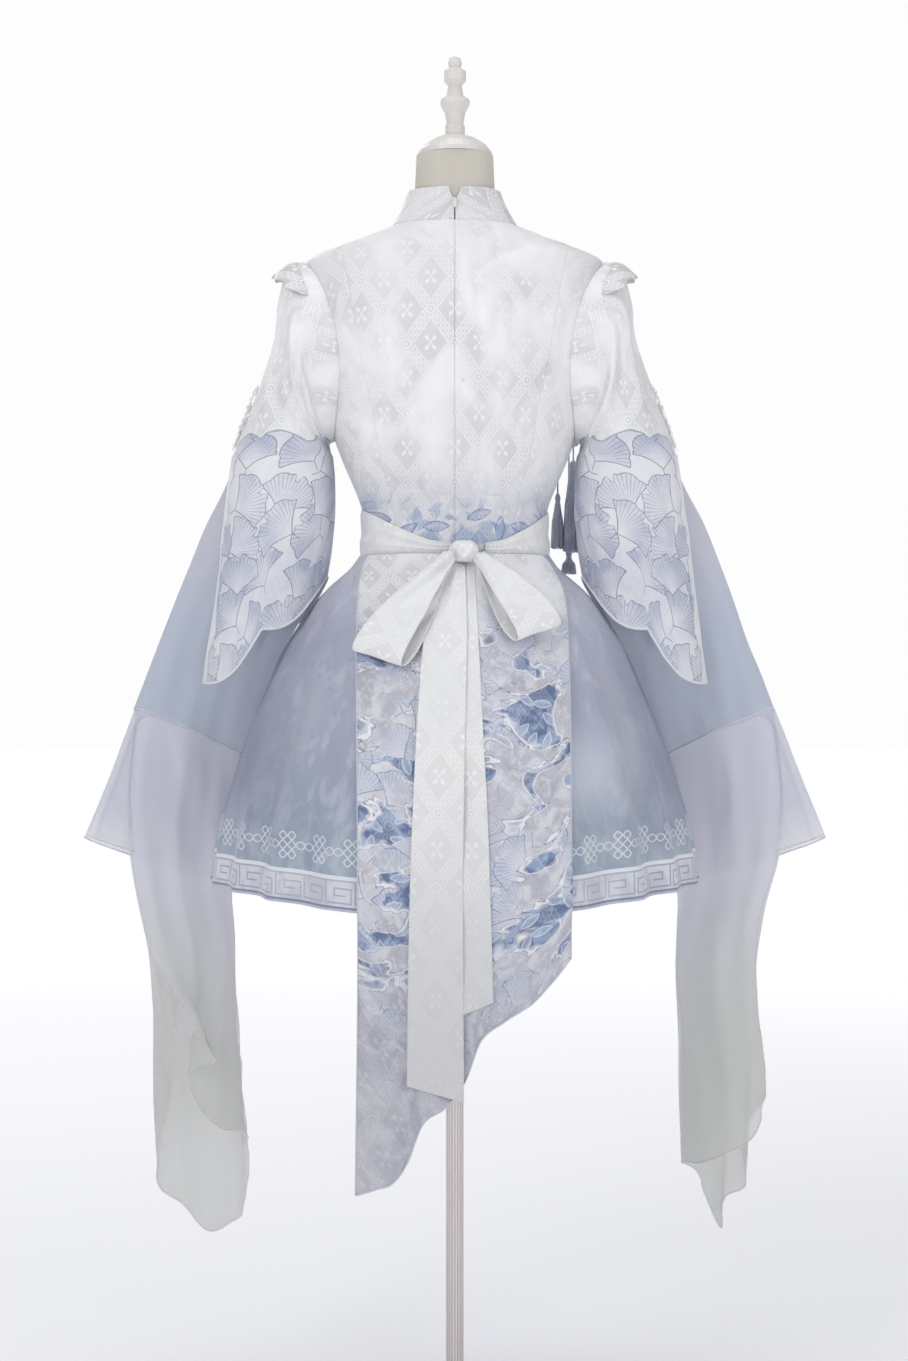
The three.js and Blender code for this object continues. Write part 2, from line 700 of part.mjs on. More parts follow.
// ---- shoulder wings: a stiff frill over the head of each sleeve ----
const WING_TURNS = [-SLEEVE_TURNS[2], -SLEEVE_TURNS[1], 0, SLEEVE_TURNS[1], SLEEVE_TURNS[2]];
const WING_PLACES = [0.5, 1, 1.3];
const WING_FLARE = 10;
const WING_WALL = 1.2;
const WING_LAY = 0.6; // clearance between a wing and its sleeve, at the seam

function wingLift(turn, place) {
  const out = (place - WING_PLACES[0]) / (WING_PLACES[2] - WING_PLACES[0]);
  const fade = Math.cos((Math.PI / 3) * (turn / SLEEVE_TURNS[2]));
  return WING_WALL + WING_LAY + WING_FLARE * out * out * fade;
}

const wingPoint = lifted(sleevePoint, -1, wingLift);
const wingOptions = { sign: -1, thickness: WING_WALL };
addPair("shoulder_wing", "jacquard", clothWall(wingPoint, WING_TURNS, WING_PLACES, wingOptions));

// ---- flower trim on the outside of each upper sleeve ----
const TRIM_DEPTH = 5;
const TRIM_LAY = 0.6; // clearance between the trim and the sleeve
const TRIM_PLACES = [4, 5, 5.7];
const TRIM_TURNS = [-SLEEVE_TURNS[1], 0, SLEEVE_TURNS[1]];
const trimPoint = lifted(sleevePoint, -1, TRIM_DEPTH + TRIM_LAY);
const trimOptions = { sign: -1, thickness: TRIM_DEPTH };
addPair("flower_trim", "trim", clothWall(trimPoint, TRIM_TURNS, TRIM_PLACES, trimOptions));

// ---- cuffs: a flared wrap, open along its outer side ----
const CUFF_ROWS = [
  { outX: 277, outY: -6, outZ: 1218.4, inX: 152, inY: 0, inZ: 1214.4, deep: 56 },
  { outX: 286, outY: -4, outZ: 1155, inX: 150, inY: 0, inZ: 1180, deep: 60 },
  { outX: 294, outY: -2, outZ: 1090, inX: 150, inY: 0, inZ: 1143, deep: 65 },
  { outX: 303, outY: 0, outZ: 1010, inX: 153, inY: 0, inZ: 1105, deep: 68 },
  { outX: 314, outY: 2, outZ: 934, inX: 159, inY: 0, inZ: 1066, deep: 70 },
];
const CUFF_BACK_EDGE = 0.02; // turn at which the cuff starts, behind the slit
const CUFF_FRONT_EDGE = 0.78; // turn at which it ends, before the slit
const CUFF_LOBE = 22; // how far the two lobes of its hem hang

function cuffPoint(u, place) {
  const turn = mix(CUFF_BACK_EDGE, CUFF_FRONT_EDGE, u);
  const point = throughPoints(CUFF_ROWS.map((row) => tubeRing(row, turn)), place);
  const lobe = Math.abs(Math.sin(Math.PI * Math.cos(turn * TURN)));
  point.z -= CUFF_LOBE * lobe * smoothStep(place / (CUFF_ROWS.length - 1));
  return point;
}

addPair("cuff", "print", clothWall(cuffPoint, even(13), between(0, 4, 4), { sign: -1 }));

// ---- organza sleeves ----
const SHEER_UPPER_ROWS = [
  { outX: 273, outY: -10, outZ: 1214, inX: 156, inY: -4, inZ: 1210, deep: 49 },
  { outX: 289, outY: -24, outZ: 1180, inX: 160, inY: -10, inZ: 1165, deep: 30 },
  { outX: 314, outY: -24, outZ: 1132, inX: 168, inY: -18, inZ: 1110, deep: 24 },
  { outX: 334, outY: -26, outZ: 1080, inX: 184, inY: -32, inZ: 1040, deep: 21 },
  { outX: 354, outY: -26, outZ: 1028, inX: 216, inY: -50, inZ: 975, deep: 21 },
  { outX: 379, outY: -24, outZ: 962, inX: 243, inY: -88, inZ: 895, deep: 30 },
  { outX: 401, outY: -22, outZ: 902, inX: 263, inY: -125, inZ: 828, deep: 36 },
];
const FLARE_ROWS = [
  { outX: 401, outY: -22, outZ: 901.5, inX: 263, inY: -125, inZ: 827.5, deep: 36 },
  { outX: 431, outY: -20, outZ: 820, inX: 278, inY: -142, inZ: 748, deep: 44 },
  { outX: 461, outY: -20, outZ: 740, inX: 290, inY: -157, inZ: 668, deep: 50 },
];
const DRAPE_ROWS = [
  { outX: 399.2, outY: -22.8, outZ: 900, inX: 264.8, inY: -124.2, inZ: 827, deep: 34.4 },
  { outX: 412, outY: -38, outZ: 800, inX: 286, inY: -138, inZ: 740, deep: 32 },
  { outX: 408, outY: -60, outZ: 710, inX: 297, inY: -150, inZ: 662, deep: 33 },
  { outX: 385, outY: -62, outZ: 590, inX: 292, inY: -142, inZ: 580, deep: 34 },
  { outX: 362, outY: -62, outZ: 520, inX: 288, inY: -134, inZ: 500, deep: 34 },
  { outX: 380, outY: -60, outZ: 425, inX: 286, inY: -126, inZ: 430, deep: 32 },
  { outX: 378, outY: -60, outZ: 310, inX: 278, inY: -120, inZ: 350, deep: 30 },
];

// The hem of the hanging organza: how far it stands above or below its lowest row.
const DRAPE_HEM = [
  { turn: 0, rise: 90 },
  { turn: 0.06, rise: 190 },
  { turn: 0.15, rise: 178 },
  { turn: 0.28, rise: 128 },
  { turn: 0.4, rise: 78 },
  { turn: 0.48, rise: 10 },
  { turn: 0.56, rise: -66 },
  { turn: 0.7, rise: -84 },
  { turn: 0.82, rise: -62 },
  { turn: 0.94, rise: 4 },
  { turn: 1, rise: 90 },
];

// Long soft folds down an organza piece: turn, reach and depth.
const SHEER_FOLDS = [
  { turn: 0.13, reach: 0.07, depth: 6 },
  { turn: 0.27, reach: 0.08, depth: 8 },
  { turn: 0.41, reach: 0.05, depth: 5 },
  { turn: 0.63, reach: 0.07, depth: 7 },
  { turn: 0.82, reach: 0.08, depth: 6 },
];

function foldPull(turn) {
  let pull = 0;
  for (const fold of SHEER_FOLDS) {
    const away = Math.min(1, Math.abs(turn - fold.turn) / fold.reach);
    pull += fold.depth * 0.5 * (1 + Math.cos(Math.PI * away));
  }
  return pull;
}

// A folded tube through rows: the folds grow from the first row, by strength, to the last.
function organzaTube(rows, strengthAt, hemAt = () => 0) {
  return (turn, place) => {
    const around = wrapTurn(turn);
    const last = rows.length - 1;
    const pull = foldPull(around) * strengthAt(place / last);
    const shaped = rows.map((row) => tubeRing({ ...row, deep: row.deep - pull }, around));
    const point = throughPoints(shaped, place);
    point.z += hemAt(around) * smoothStep((place / last) * 1.6 - 0.6);
    return point;
  };
}

const sheerOptions = { sign: -1, closed: true, thickness: SHEER };
const FOLD_STRENGTH = 0.6;
const upperFold = (t) => FOLD_STRENGTH * smoothStep(t * 2 - 1);
const evenFold = () => FOLD_STRENGTH;
const drapeHem = (turn) => lookUp(DRAPE_HEM, "turn", turn, "rise");
const SHEER_TURNS = even(16);
const sheerUpper = organzaTube(SHEER_UPPER_ROWS, upperFold);
const sheerFlare = organzaTube(FLARE_ROWS, evenFold);
const sheerDrape = organzaTube(DRAPE_ROWS, evenFold, drapeHem);
addPair("sheer_upper", "organza", clothWall(sheerUpper, SHEER_TURNS, between(0, 6, 6), sheerOptions));
addPair("sheer_flare", "organza", clothWall(sheerFlare, SHEER_TURNS, between(0, 2, 2), sheerOptions));
addPair("sheer_drape", "organzaPale", clothWall(sheerDrape, SHEER_TURNS, between(0, 6, 6), sheerOptions));

// ---- zip ----
// The zip's tape lies behind the centre back seam; its slider and pull hang at the collar.
const ZIP_HALF_WIDTH = 4;
const ZIP_TAPE = 1;
const ZIP_LAY = 0.7; // clearance between the tape and the back panels
const ZIP_FOOT = 1098;
const ZIP_TOP = 1468;
const ZIP_LEVELS = [ZIP_FOOT, ...BODICE_LEVELS.filter((z) => z > ZIP_FOOT && z < ZIP_TOP), ZIP_TOP];
const zipPoint = (u, z) => bodyPoint(mix(-ZIP_HALF_WIDTH, ZIP_HALF_WIDTH, u) / ZIP_CURVE_RADIUS, z);
add(
  "zip_tape",
  "zipper",
  clothWall(lifted(zipPoint, -1, -CLOTH - ZIP_LAY), even(2), ZIP_LEVELS, {
    sign: -1,
    thickness: ZIP_TAPE,
  }),
);

const SLIDER = { width: 4.6, depth: 2.4, height: 7, z: 1526, lay: 0.5 };
const PULL = { depth: 1.2, height: 11, radius: 2.1, topRadius: 0.95, lay: 0.4, overlap: 1 };

function collarBackY(z) {
  return collarPoint(0, (z - NECK_HEIGHT - COLLAR_FOOT_GAP) / COLLAR_HEIGHT).y;
}

const sliderY = collarBackY(SLIDER.z - SLIDER.height / 2) + SLIDER.lay + SLIDER.depth / 2;
const slider = new THREE.BoxGeometry(SLIDER.width, SLIDER.depth, SLIDER.height);
slider.translate(0, sliderY, SLIDER.z);
add("zip_slider", "zipper", slider);

// The pull is a flat teardrop that hangs from the slider's face.
const pullOutline = new THREE.Shape();
pullOutline.moveTo(-PULL.topRadius, 0);
pullOutline.lineTo(-PULL.radius, -PULL.height + PULL.radius);
pullOutline.absarc(0, -PULL.height + PULL.radius, PULL.radius, Math.PI, TURN, false);
pullOutline.lineTo(PULL.topRadius, 0);
pullOutline.closePath();
const pullOptions = { depth: PULL.depth, bevelEnabled: false, curveSegments: 8 };
const pull = new THREE.ExtrudeGeometry(pullOutline, pullOptions);
pull.rotateX(Math.PI / 2);
const pullY = sliderY + SLIDER.depth / 2 + PULL.lay;
pull.translate(0, pullY + PULL.depth, SLIDER.z + SLIDER.height / 2 - PULL.overlap);
add("zip_pull", "pull", pull);

// ---- tassels at the wearer's right front, under the arm ----
const TASSEL_KNOT = { x: -141.3, y: -84, z: 1243, halfWidth: 18, depth: 12, height: 12 };
const knotGeometry = solidLoft(
  (turn, level) => {
    const angle = turn * TURN;
    const round = level * level === 1 ? 0.85 : 1;
    return vec(
      TASSEL_KNOT.x + TASSEL_KNOT.halfWidth * signedPower(Math.cos(angle), 0.7) * round,
      TASSEL_KNOT.y + TASSEL_KNOT.depth * signedPower(Math.sin(angle), 0.7) * round,
      TASSEL_KNOT.z + (TASSEL_KNOT.height / 2) * level,
    );
  },
  [-1, -0.5, 0.5, 1],
  12,
);
add("tassel_knot", "tassel", knotGeometry);

// name: node, x and y: place, head: height of the tassel's neck, hem: its lowest point
const TASSELS = [
  { name: "tassel_inner", x: -132, y: -80, head: 1168, hem: 1107, radius: 8 },
  { name: "tassel_middle", x: -152, y: -78, head: 1210, hem: 1102, radius: 12 },
  { name: "tassel_low", x: -147, y: -94, head: 1098, hem: 1075, radius: 9 },
];
const TASSEL_CORD = 1.1;

for (const tassel of TASSELS) {
  const tail = tassel.head - tassel.hem;
  const rows = [
    { z: tassel.hem, r: tassel.radius },
    { z: tassel.hem + tail * 0.6, r: tassel.radius * 0.85 },
    { z: tassel.head - 5, r: tassel.radius * 0.45 },
    { z: tassel.head, r: tassel.radius * 0.4 },
    { z: tassel.head + 5, r: tassel.radius * 0.42 },
    { z: tassel.head + 8, r: TASSEL_CORD },
    { z: TASSEL_KNOT.z - TASSEL_KNOT.height / 2 - SEAM_GAP, r: TASSEL_CORD },
  ];
  const geometry = turned(rows, 6);
  geometry.translate(tassel.x, tassel.y, 0);
  add(tassel.name, "tassel", geometry);
}

// ---- dress form ----
// Sections of the torso: like the bodice's, a little smaller, with flat shoulder ends.
const FORM_ROWS = [
  { z: 935, side: 150, back: 112, front: 96 },
  { z: 985, side: 149, back: 112, front: 97 },
  { z: 1035, side: 134, back: 99, front: 90 },
  { z: 1075, side: 114, back: 86, front: 82 },
  { z: 1120, side: 105, back: 81, front: 80 },
  { z: 1170, side: 112, back: 83, front: 88 },
  { z: 1240, side: 134, back: 94, front: 108 },
  { z: 1300, side: 140, back: 97, front: 108 },
  { z: 1370, side: 148, back: 94, front: 92 },
  { z: 1420, side: 152, back: 85, front: 77 },
  { z: 1450, side: 148, back: 72, front: 64 },
  { z: 1464, side: 132, back: 63, front: 58 },
  { z: 1478, side: 98, back: 56, front: 54 },
  { z: 1492, side: 66, back: 50, front: 52 },
  { z: 1515, side: 54, back: 47, front: 50 },
  { z: 1545, side: 50, back: 45, front: 48 },
  { z: 1592, side: 48, back: 44, front: 46 },
];

const FORM_POWER = 0.9; // below 1 the sections are a little squared

function formRing(turn, z) {
  const angle = turn * TURN;
  const side = lookUp(FORM_ROWS, "z", z, "side");
  const depth = lookUp(FORM_ROWS, "z", z, Math.cos(angle) >= 0 ? "back" : "front");
  return vec(
    side * signedPower(Math.sin(angle), FORM_POWER),
    depth * signedPower(Math.cos(angle), FORM_POWER),
    z,
  );
}

add("form_torso", "linen", solidLoft(formRing, FORM_ROWS.map((row) => row.z), 28));

const CAP_ROWS = [
  { z: 1592.3, r: 46 },
  { z: 1597, r: 46 },
  { z: 1606, r: 38 },
  { z: 1613, r: 26 },
  { z: 1618, r: 13 },
];
const FINIAL_ROWS = [
  { z: 1618.3, r: 12.5 },
  { z: 1630, r: 12.5 },
  { z: 1631, r: 10.6 },
  { z: 1646, r: 13 },
  { z: 1657, r: 18.5 },
  { z: 1662, r: 18.5 },
  { z: 1667, r: 11 },
  { z: 1680, r: 8.5 },
  { z: 1686, r: 14 },
  { z: 1698, r: 14 },
  { z: 1702, r: 7.5 },
  { z: 1708, r: 9 },
  { z: 1714, r: 7.5 },
  { z: 1716, r: 3 },
];
add("form_cap", "paint", turned(CAP_ROWS, 28));
add("form_finial", "paint", turned(FINIAL_ROWS, 20));

const POLE_RADIUS = 11;
const BASE_ROWS = [
  { z: 0, r: 190 },
  { z: 9, r: 190 },
  { z: 14, r: 184 },
  { z: 18, r: 60 },
  { z: 26, r: 30 },
  { z: 58, r: 20 },
];
add("stand_pole", "pole", turned([{ z: 58.3, r: POLE_RADIUS }, { z: 934.7, r: POLE_RADIUS }], 16));
add("stand_base", "paint", turned(BASE_ROWS, 40));

export default group;
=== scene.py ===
import math

import bmesh
import bpy
import numpy as np
from mathutils import Matrix, Vector


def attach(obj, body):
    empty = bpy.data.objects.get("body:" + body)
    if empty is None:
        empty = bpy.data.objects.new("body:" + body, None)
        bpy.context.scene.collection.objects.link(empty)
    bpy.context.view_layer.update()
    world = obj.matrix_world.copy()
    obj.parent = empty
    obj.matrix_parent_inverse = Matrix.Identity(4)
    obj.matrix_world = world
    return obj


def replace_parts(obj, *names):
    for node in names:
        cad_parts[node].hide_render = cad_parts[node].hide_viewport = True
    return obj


bl_info = {
    "name": "Chinese lolita dress set",
    "version": (1, 0, 0),
    "blender": (4, 5, 0),
    "location": "3D View > Sidebar > Dress",
    "description": "Cloth, trim, finishes and stage for a dress set on a limbless form",
    "category": "Object",
}

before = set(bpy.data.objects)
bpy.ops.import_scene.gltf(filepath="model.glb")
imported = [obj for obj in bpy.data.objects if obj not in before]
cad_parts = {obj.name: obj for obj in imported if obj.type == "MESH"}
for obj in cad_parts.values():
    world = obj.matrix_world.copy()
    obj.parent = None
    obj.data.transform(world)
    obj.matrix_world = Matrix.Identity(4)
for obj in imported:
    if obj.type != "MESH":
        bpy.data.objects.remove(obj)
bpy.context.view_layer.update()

MM = 0.001
TURN = 2 * math.pi
SIDES = (("left", 1), ("right", -1))

# ---- the garment's own surfaces, in millimetres, as the solids have them ----
BODY_POWER = 2.3
NECK_HEIGHT = 1502
FRONT_NECK_DROP = 45  # how far the neckline falls from the back to the front
FRONT_DROP_START = 1300  # height from which the front falls
BODICE_BOTTOM = 1094
SKIRT_TOP = 1093.7
HEM_HEIGHT = 682
ARMHOLE_TOP = 1459
ARMHOLE_BOTTOM = 1236
ARMHOLE_BACK_DEPTH = 56
ARMHOLE_FRONT_DEPTH = 50
WAIST_BLEND = 90  # below the waist the skirt's sections become ellipses within this
SEAM = 0.0003  # half a seam's gap, in radians round the body
CLOTH_MEETS = 2e-5  # a tube of cloth closes where its edges lie within this, in metres
RING_MEETS = 1e-5  # and a solid ring within this

BODY_ROWS = {
    "z": [1090, 1120, 1150, 1180, 1210, 1240, 1290, 1340, 1400, 1440, 1459, 1470, 1480, 1491, 1502],
    "side": [117, 114, 116, 127, 140, 150, 155, 161, 172, 181, 184, 165, 137, 107, 79],
    "back": [90, 88, 88, 92, 97, 101, 104, 104, 97, 84, 75, 70, 65, 61, 58],
    "front": [88, 87, 90, 101, 114, 121, 119, 110, 98, 86, 80, 76, 73, 71, 70],
}
PRINCESS_SEAM = {
    "z": [1090, 1150, 1204, 1276, 1339, 1404, 1455, 1478],
    "x": [70, 76, 90, 103, 117, 127, 137, 143],
}
SKIRT_ROWS = {
    "z": [680, 740, 800, 870, 930, 980, 1020, 1050, 1075, 1094],
    "side": [308, 298, 281, 258, 234, 211, 186, 161, 132, 117],
    "back": [298, 288, 271, 246, 221, 197, 170, 139, 108, 90],
    "front": [292, 282, 264, 240, 215, 192, 166, 136, 106, 88],
}
# angle from the centre back, angular reach and depth at the hem
SKIRT_PLEATS = [
    (37, 9, 11), (52, 8, 13), (66, 8, 9), (83, 10, 10),
    (101, 9, 11), (122, 10, 9), (146, 10, 11), (169, 8, 8),
]


def mix(a, b, t):
    return a + (b - a) * t


def smooth(value):
    t = np.clip(value, 0, 1)
    return t * t * (3 - 2 * t)


def signed_power(value, power):
    return np.sign(value) * np.abs(value) ** power


def look_up(rows, key_name, key, column):
    """A column of a table read at a key, along a smooth curve through its rows."""
    keys = np.asarray(rows[key_name], float)
    values = np.asarray(rows[column], float)
    key = np.asarray(key, float)
    last = len(keys) - 1
    i = np.clip(np.searchsorted(keys, key, side="left") - 1, 0, last - 1)
    before, after = np.maximum(i - 1, 0), np.minimum(i + 2, last)
    span = keys[i + 1] - keys[i]
    t = np.clip((key - keys[i]) / span, 0, 1)
    slope_a = (values[i + 1] - values[before]) / (keys[i + 1] - keys[before]) * span
    slope_b = (values[after] - values[i]) / (keys[after] - keys[i]) * span
    t2, t3 = t * t, t * t * t
    return (
        (2 * t3 - 3 * t2 + 1) * values[i]
        + (t3 - 2 * t2 + t) * slope_a
        + (3 * t2 - 2 * t3) * values[i + 1]
        + (t3 - t2) * slope_b
    )


def through(points, spot):
    """A smooth curve through points, read at spots counted in points."""
    points = np.asarray(points, float)
    last = len(points) - 1
    i = np.clip(np.floor(spot).astype(int), 0, last - 1)
    t = (spot - i)[:, None]
    if points.ndim == 2:
        row = lambda k: points[k]
    else:
        columns = np.arange(points.shape[1])
        row = lambda k: points[k, columns]
    a, b = row(i), row(i + 1)
    half_a = np.where(i > 0, 0.5, 1.0)[:, None]
    half_b = np.where(i < last - 1, 0.5, 1.0)[:, None]
    slope_a = (b - row(np.maximum(i - 1, 0))) * half_a
    slope_b = (row(np.minimum(i + 2, last)) - a) * half_b
    t2, t3 = t * t, t * t * t
    return (
        a * (2 * t3 - 3 * t2 + 1) + slope_a * (t3 - 2 * t2 + t)
        + b * (3 * t2 - 2 * t3) + slope_b * (t3 - t2)
    )


def place(x, y, z):
    """Points from their three coordinates, each a number or a row of numbers."""
    return np.stack(np.broadcast_arrays(x, y, z), axis=-1).astype(float)


def section(rows, z):
    """How far a section reaches at a height: to the side, to the back and to the front."""
    return (look_up(rows, "z", z, column) for column in ("side", "back", "front"))


def body_point(angle, z):
    """The bodice's surface at an angle from the centre back."""
    side, back, front = section(BODY_ROWS, z)
    cosine = np.cos(angle)
    depth = np.where(cosine >= 0, back, front)
    power = 2 / BODY_POWER
    drop = FRONT_NECK_DROP * smooth((z - FRONT_DROP_START) / (NECK_HEIGHT - FRONT_DROP_START))
    drop = drop * np.maximum(0, -cosine) ** 1.5
    x = side * signed_power(np.sin(angle), power)
    return place(x, depth * signed_power(cosine, power), z - drop)


def angle_at_x(x, z):
    return np.arcsin(np.clip(x / look_up(BODY_ROWS, "z", z, "side"), 0, 1) ** (BODY_POWER / 2))


def armhole_angle(z, deepest, column):
    """Where the oval armhole's edge lies at a height."""
    t = (z - (ARMHOLE_TOP + ARMHOLE_BOTTOM) / 2) / ((ARMHOLE_TOP - ARMHOLE_BOTTOM) / 2)
    y = deepest * np.sqrt(np.clip(1 - t * t, 0, 1))
    return np.arccos(np.clip(y / look_up(BODY_ROWS, "z", z, column), 0, 1) ** (BODY_POWER / 2))


def back_arm(z):
    return armhole_angle(z, ARMHOLE_BACK_DEPTH, "back")


def front_arm(z):
    return math.pi - armhole_angle(z, ARMHOLE_FRONT_DEPTH, "front")


def princess(z):
    """The angle of the princess seam at a height."""
    return angle_at_x(look_up(PRINCESS_SEAM, "z", z, "x"), z)


def bumps(rows, around):
    """Round bumps in a line: each row holds a middle, a reach to either side and a height."""
    total = 0
    for middle, reach, height in rows:
        away = np.minimum(1, np.abs(around - middle) / reach)
        total = total + height * 0.5 * (1 + np.cos(math.pi * away))
    return total


def pleat_pull(angle, z):
    """How far the skirt's soft pleats draw in, more towards the hem."""
    growth = smooth((SKIRT_TOP - z) / (SKIRT_TOP - HEM_HEIGHT)) ** 0.7
    return bumps(SKIRT_PLEATS, np.degrees(np.abs(angle))) * growth


def skirt_point(angle, z):
    """The skirt's surface at an angle from the centre back."""
    side, back, front = section(SKIRT_ROWS, z)
    depth = np.where(np.cos(angle) >= 0, back, front)
    wrapped = np.where(angle > math.pi, TURN - angle, angle)
    keep = 1 - pleat_pull(wrapped, z) / side
    power = 2 / mix(BODY_POWER, 2, smooth((SKIRT_TOP - z) / WAIST_BLEND))
    return place(
        side * keep * signed_power(np.sin(angle), power),
        depth * keep * signed_power(np.cos(angle), power),
        z,
    )


def skirt_back(x, z):
    """How far back the skirt stands at x and z, without its pleats; below the hem it hangs."""
    level = np.maximum(z, HEM_HEIGHT)
    side = look_up(SKIRT_ROWS, "z", level, "side")
    depth = look_up(SKIRT_ROWS, "z", level, "back")
    power = mix(BODY_POWER, 2, smooth((SKIRT_TOP - level) / WAIST_BLEND))
    sway = np.maximum(0, HEM_HEIGHT - z) * 0.02
    return depth * np.maximum(0, 1 - np.abs(x / side) ** power) ** (1 / power) - sway


def tube_ring(row, turn):
    """A point of an oval between an outer and an inner point; deep is half its thickness."""
    angle = turn * TURN
    outer, inner = np.array(row[0:3], float), np.array(row[3:6], float)
    half = (outer - inner) / 2
    flat = math.hypot(half[0], half[1])
    across = np.array([-half[1] / flat, half[0] / flat, 0])
    deep = np.asarray(row[6])
    return (
        (outer + inner) / 2
        + half * np.cos(angle)[:, None]
        + across * (deep * np.sin(angle))[..., None]
    )


# ---- cloth made from a surface ----
GRIDS = {}


def normals(surface, u, v, sign):
    step = 1e-3
    along_u = surface(u + step, v) - surface(u - step, v)
    along_v = surface(u, v + step) - surface(u, v - step)
    out = np.cross(along_u, along_v)
    return sign * out / np.maximum(np.linalg.norm(out, axis=1), 1e-12)[:, None]


def creases(marks):
    """Soft troughs and ridges on a piece: marks hold the middle u and v, the direction in
    degrees from the u axis, the half length and half width in metres, and the rise in mm."""
    def rise(across, along):
        total = 0
        for at_u, at_v, turned, length, width, high in marks:
            c, s = math.cos(math.radians(turned)), math.sin(math.radians(turned))
            run = (across - at_u) * c + (along - at_v) * s
            off = (along - at_v) * c - (across - at_u) * s + 0.12 * run * run / length
            total = total + high * np.exp(-((off / width) ** 2)) * np.exp(-((run / length) ** 4))
        return total
    return rise


def wrinkles(seed, high, wide, lean=0.5):
    """Fine uneven undulation: high in mm, wide apart in metres, leaning off the vertical."""
    def rise(across, along):
        p = (across + lean * along) * TURN / wide
        q = (along - lean * across) * TURN / wide
        drift = 1.3 * np.sin(q / 3.1 + seed) + 0.8 * np.sin(p / 4.3 + 2 * seed)
        patch = 0.5 + 0.5 * np.sin(q / 4.7 + 3 * seed + 0.9 * np.sin(p / 3.3 + seed))
        return high * np.sin(p + drift) * patch
    return rise


def together(*marks):
    return lambda across, along: sum(mark(across, along) for mark in marks)


def measured(grid, origin, hung):
    """Lengths in metres along the rows and the columns of a grid of points. A hung piece is
    measured down from its straight top, so that its pattern doesn't follow an uneven hem."""
    across = np.linalg.norm(np.diff(grid, axis=1), axis=2)
    across = np.pad(np.cumsum(across, axis=1), ((0, 0), (1, 0)))
    across -= across[:, -1:] * origin
    along = np.linalg.norm(np.diff(grid, axis=0), axis=2)
    along = np.pad(np.cumsum(along, axis=0), ((1, 0), (0, 0)))
    if hung:
        along -= along[-1]
    return across * MM, along * MM


def spaced(*marks, step):
    """Stations from the first mark to the last, through all of them, no more than step apart."""
    stations = [float(marks[0])]
    for low, high in zip(marks[:-1], marks[1:]):
        count = max(1, math.ceil(abs(high - low) / step - 1e-6))
        stations += [low + (high - low) * k / count for k in range(1, count + 1)]
    return np.array(stations)


def grid_of(us, vs):
    """A flat grid made ready to be shaped, with each corner's row and column."""
    build = bmesh.new()
    bmesh.ops.create_grid(build, x_segments=len(us) - 1, y_segments=len(vs) - 1, size=0.5)
    build.verts.ensure_lookup_table()
    flat = np.array([vert.co[:] for vert in build.verts]) + 0.5
    column = np.round(flat[:, 0] * (len(us) - 1)).astype(int)
    row = np.round(flat[:, 1] * (len(vs) - 1)).astype(int)
    return build, column, row


def near_seam(across, reach):
    """1 at the two sewn sides of a piece, falling to 0 within reach, in millimetres."""
    low, high = across.min(axis=1, keepdims=True), across.max(axis=1, keepdims=True)
    return np.exp(-((np.minimum(across - low, high - across) / (reach * MM)) ** 2))


def cloth(name, surface, us, vs, sign, mark=None, closed=False, origin=0.5, wall=0.8, lift=0.0,
          flip=False, seams=(0.0, 3.0), hung=False):
    """A thin cloth piece over surface(u, v) at the stations us and vs.

    Its UV map "cloth" holds the lengths in metres across from its origin, 0 to 1, and up
    from its bottom; where it is hung they are 0 at its top and below 0 under it.
    mark(across, along) gives the creases from them, in millimetres. GRIDS keeps its points.
    """
    build, column, row = grid_of(us, vs)
    grid_u, grid_v = np.meshgrid(us, vs)
    points = surface(grid_u.ravel(), grid_v.ravel())
    out = normals(surface, grid_u.ravel(), grid_v.ravel(), sign)
    across, along = measured(points.reshape(len(vs), len(us), 3), origin, hung)
    rise = np.full(across.shape, float(lift))
    if mark:
        rise = rise + mark(across, along) * (1 - near_seam(across, 8) if seams[0] else 1)
    if seams[0]:
        rise = rise - seams[0] * near_seam(across, seams[1])
    points = (points + out * rise.ravel()[:, None]) * MM
    if flip:
        points[:, 0] *= -1
        out = out * (-1, 1, 1)
    GRIDS[name] = points.reshape(len(vs), len(us), 3)
    place_of = row * len(us) + column
    layer = build.loops.layers.uv.new("cloth")
    flat_u, flat_v = across.ravel()[place_of], along.ravel()[place_of]
    for face in build.faces:
        face.smooth = True
        for loop in face.loops:
            loop[layer].uv = (flat_u[loop.vert.index], flat_v[loop.vert.index])
    for vert, index in zip(build.verts, place_of):
        vert.co = points[index]
    middle = build.faces[:][len(build.faces) // 2]
    facing = out[place_of[middle.verts[0].index]]
    if closed:
        bmesh.ops.remove_doubles(build, verts=build.verts, dist=CLOTH_MEETS)
    bmesh.ops.recalc_face_normals(build, faces=build.faces)
    middle.normal_update()
    if np.dot(np.array(middle.normal[:]), facing) < 0:
        bmesh.ops.reverse_faces(build, faces=build.faces)
    return finished(name, build, wall)


def finished(name, build, wall=0.0):
    """The piece that a bmesh makes, with a wall of its own where it is cloth."""
    mesh = bpy.data.meshes.new(name)
    build.to_mesh(mesh)
    build.free()
    piece = bpy.data.objects.new(name, mesh)
    bpy.context.scene.collection.objects.link(piece)
    if wall:
        solid = piece.modifiers.new("wall", "SOLIDIFY")
        solid.thickness = wall * MM
        solid.offset = -1
        even = piece.modifiers.new("normals", "WEIGHTED_NORMAL")
        even.weight = 100
    return piece


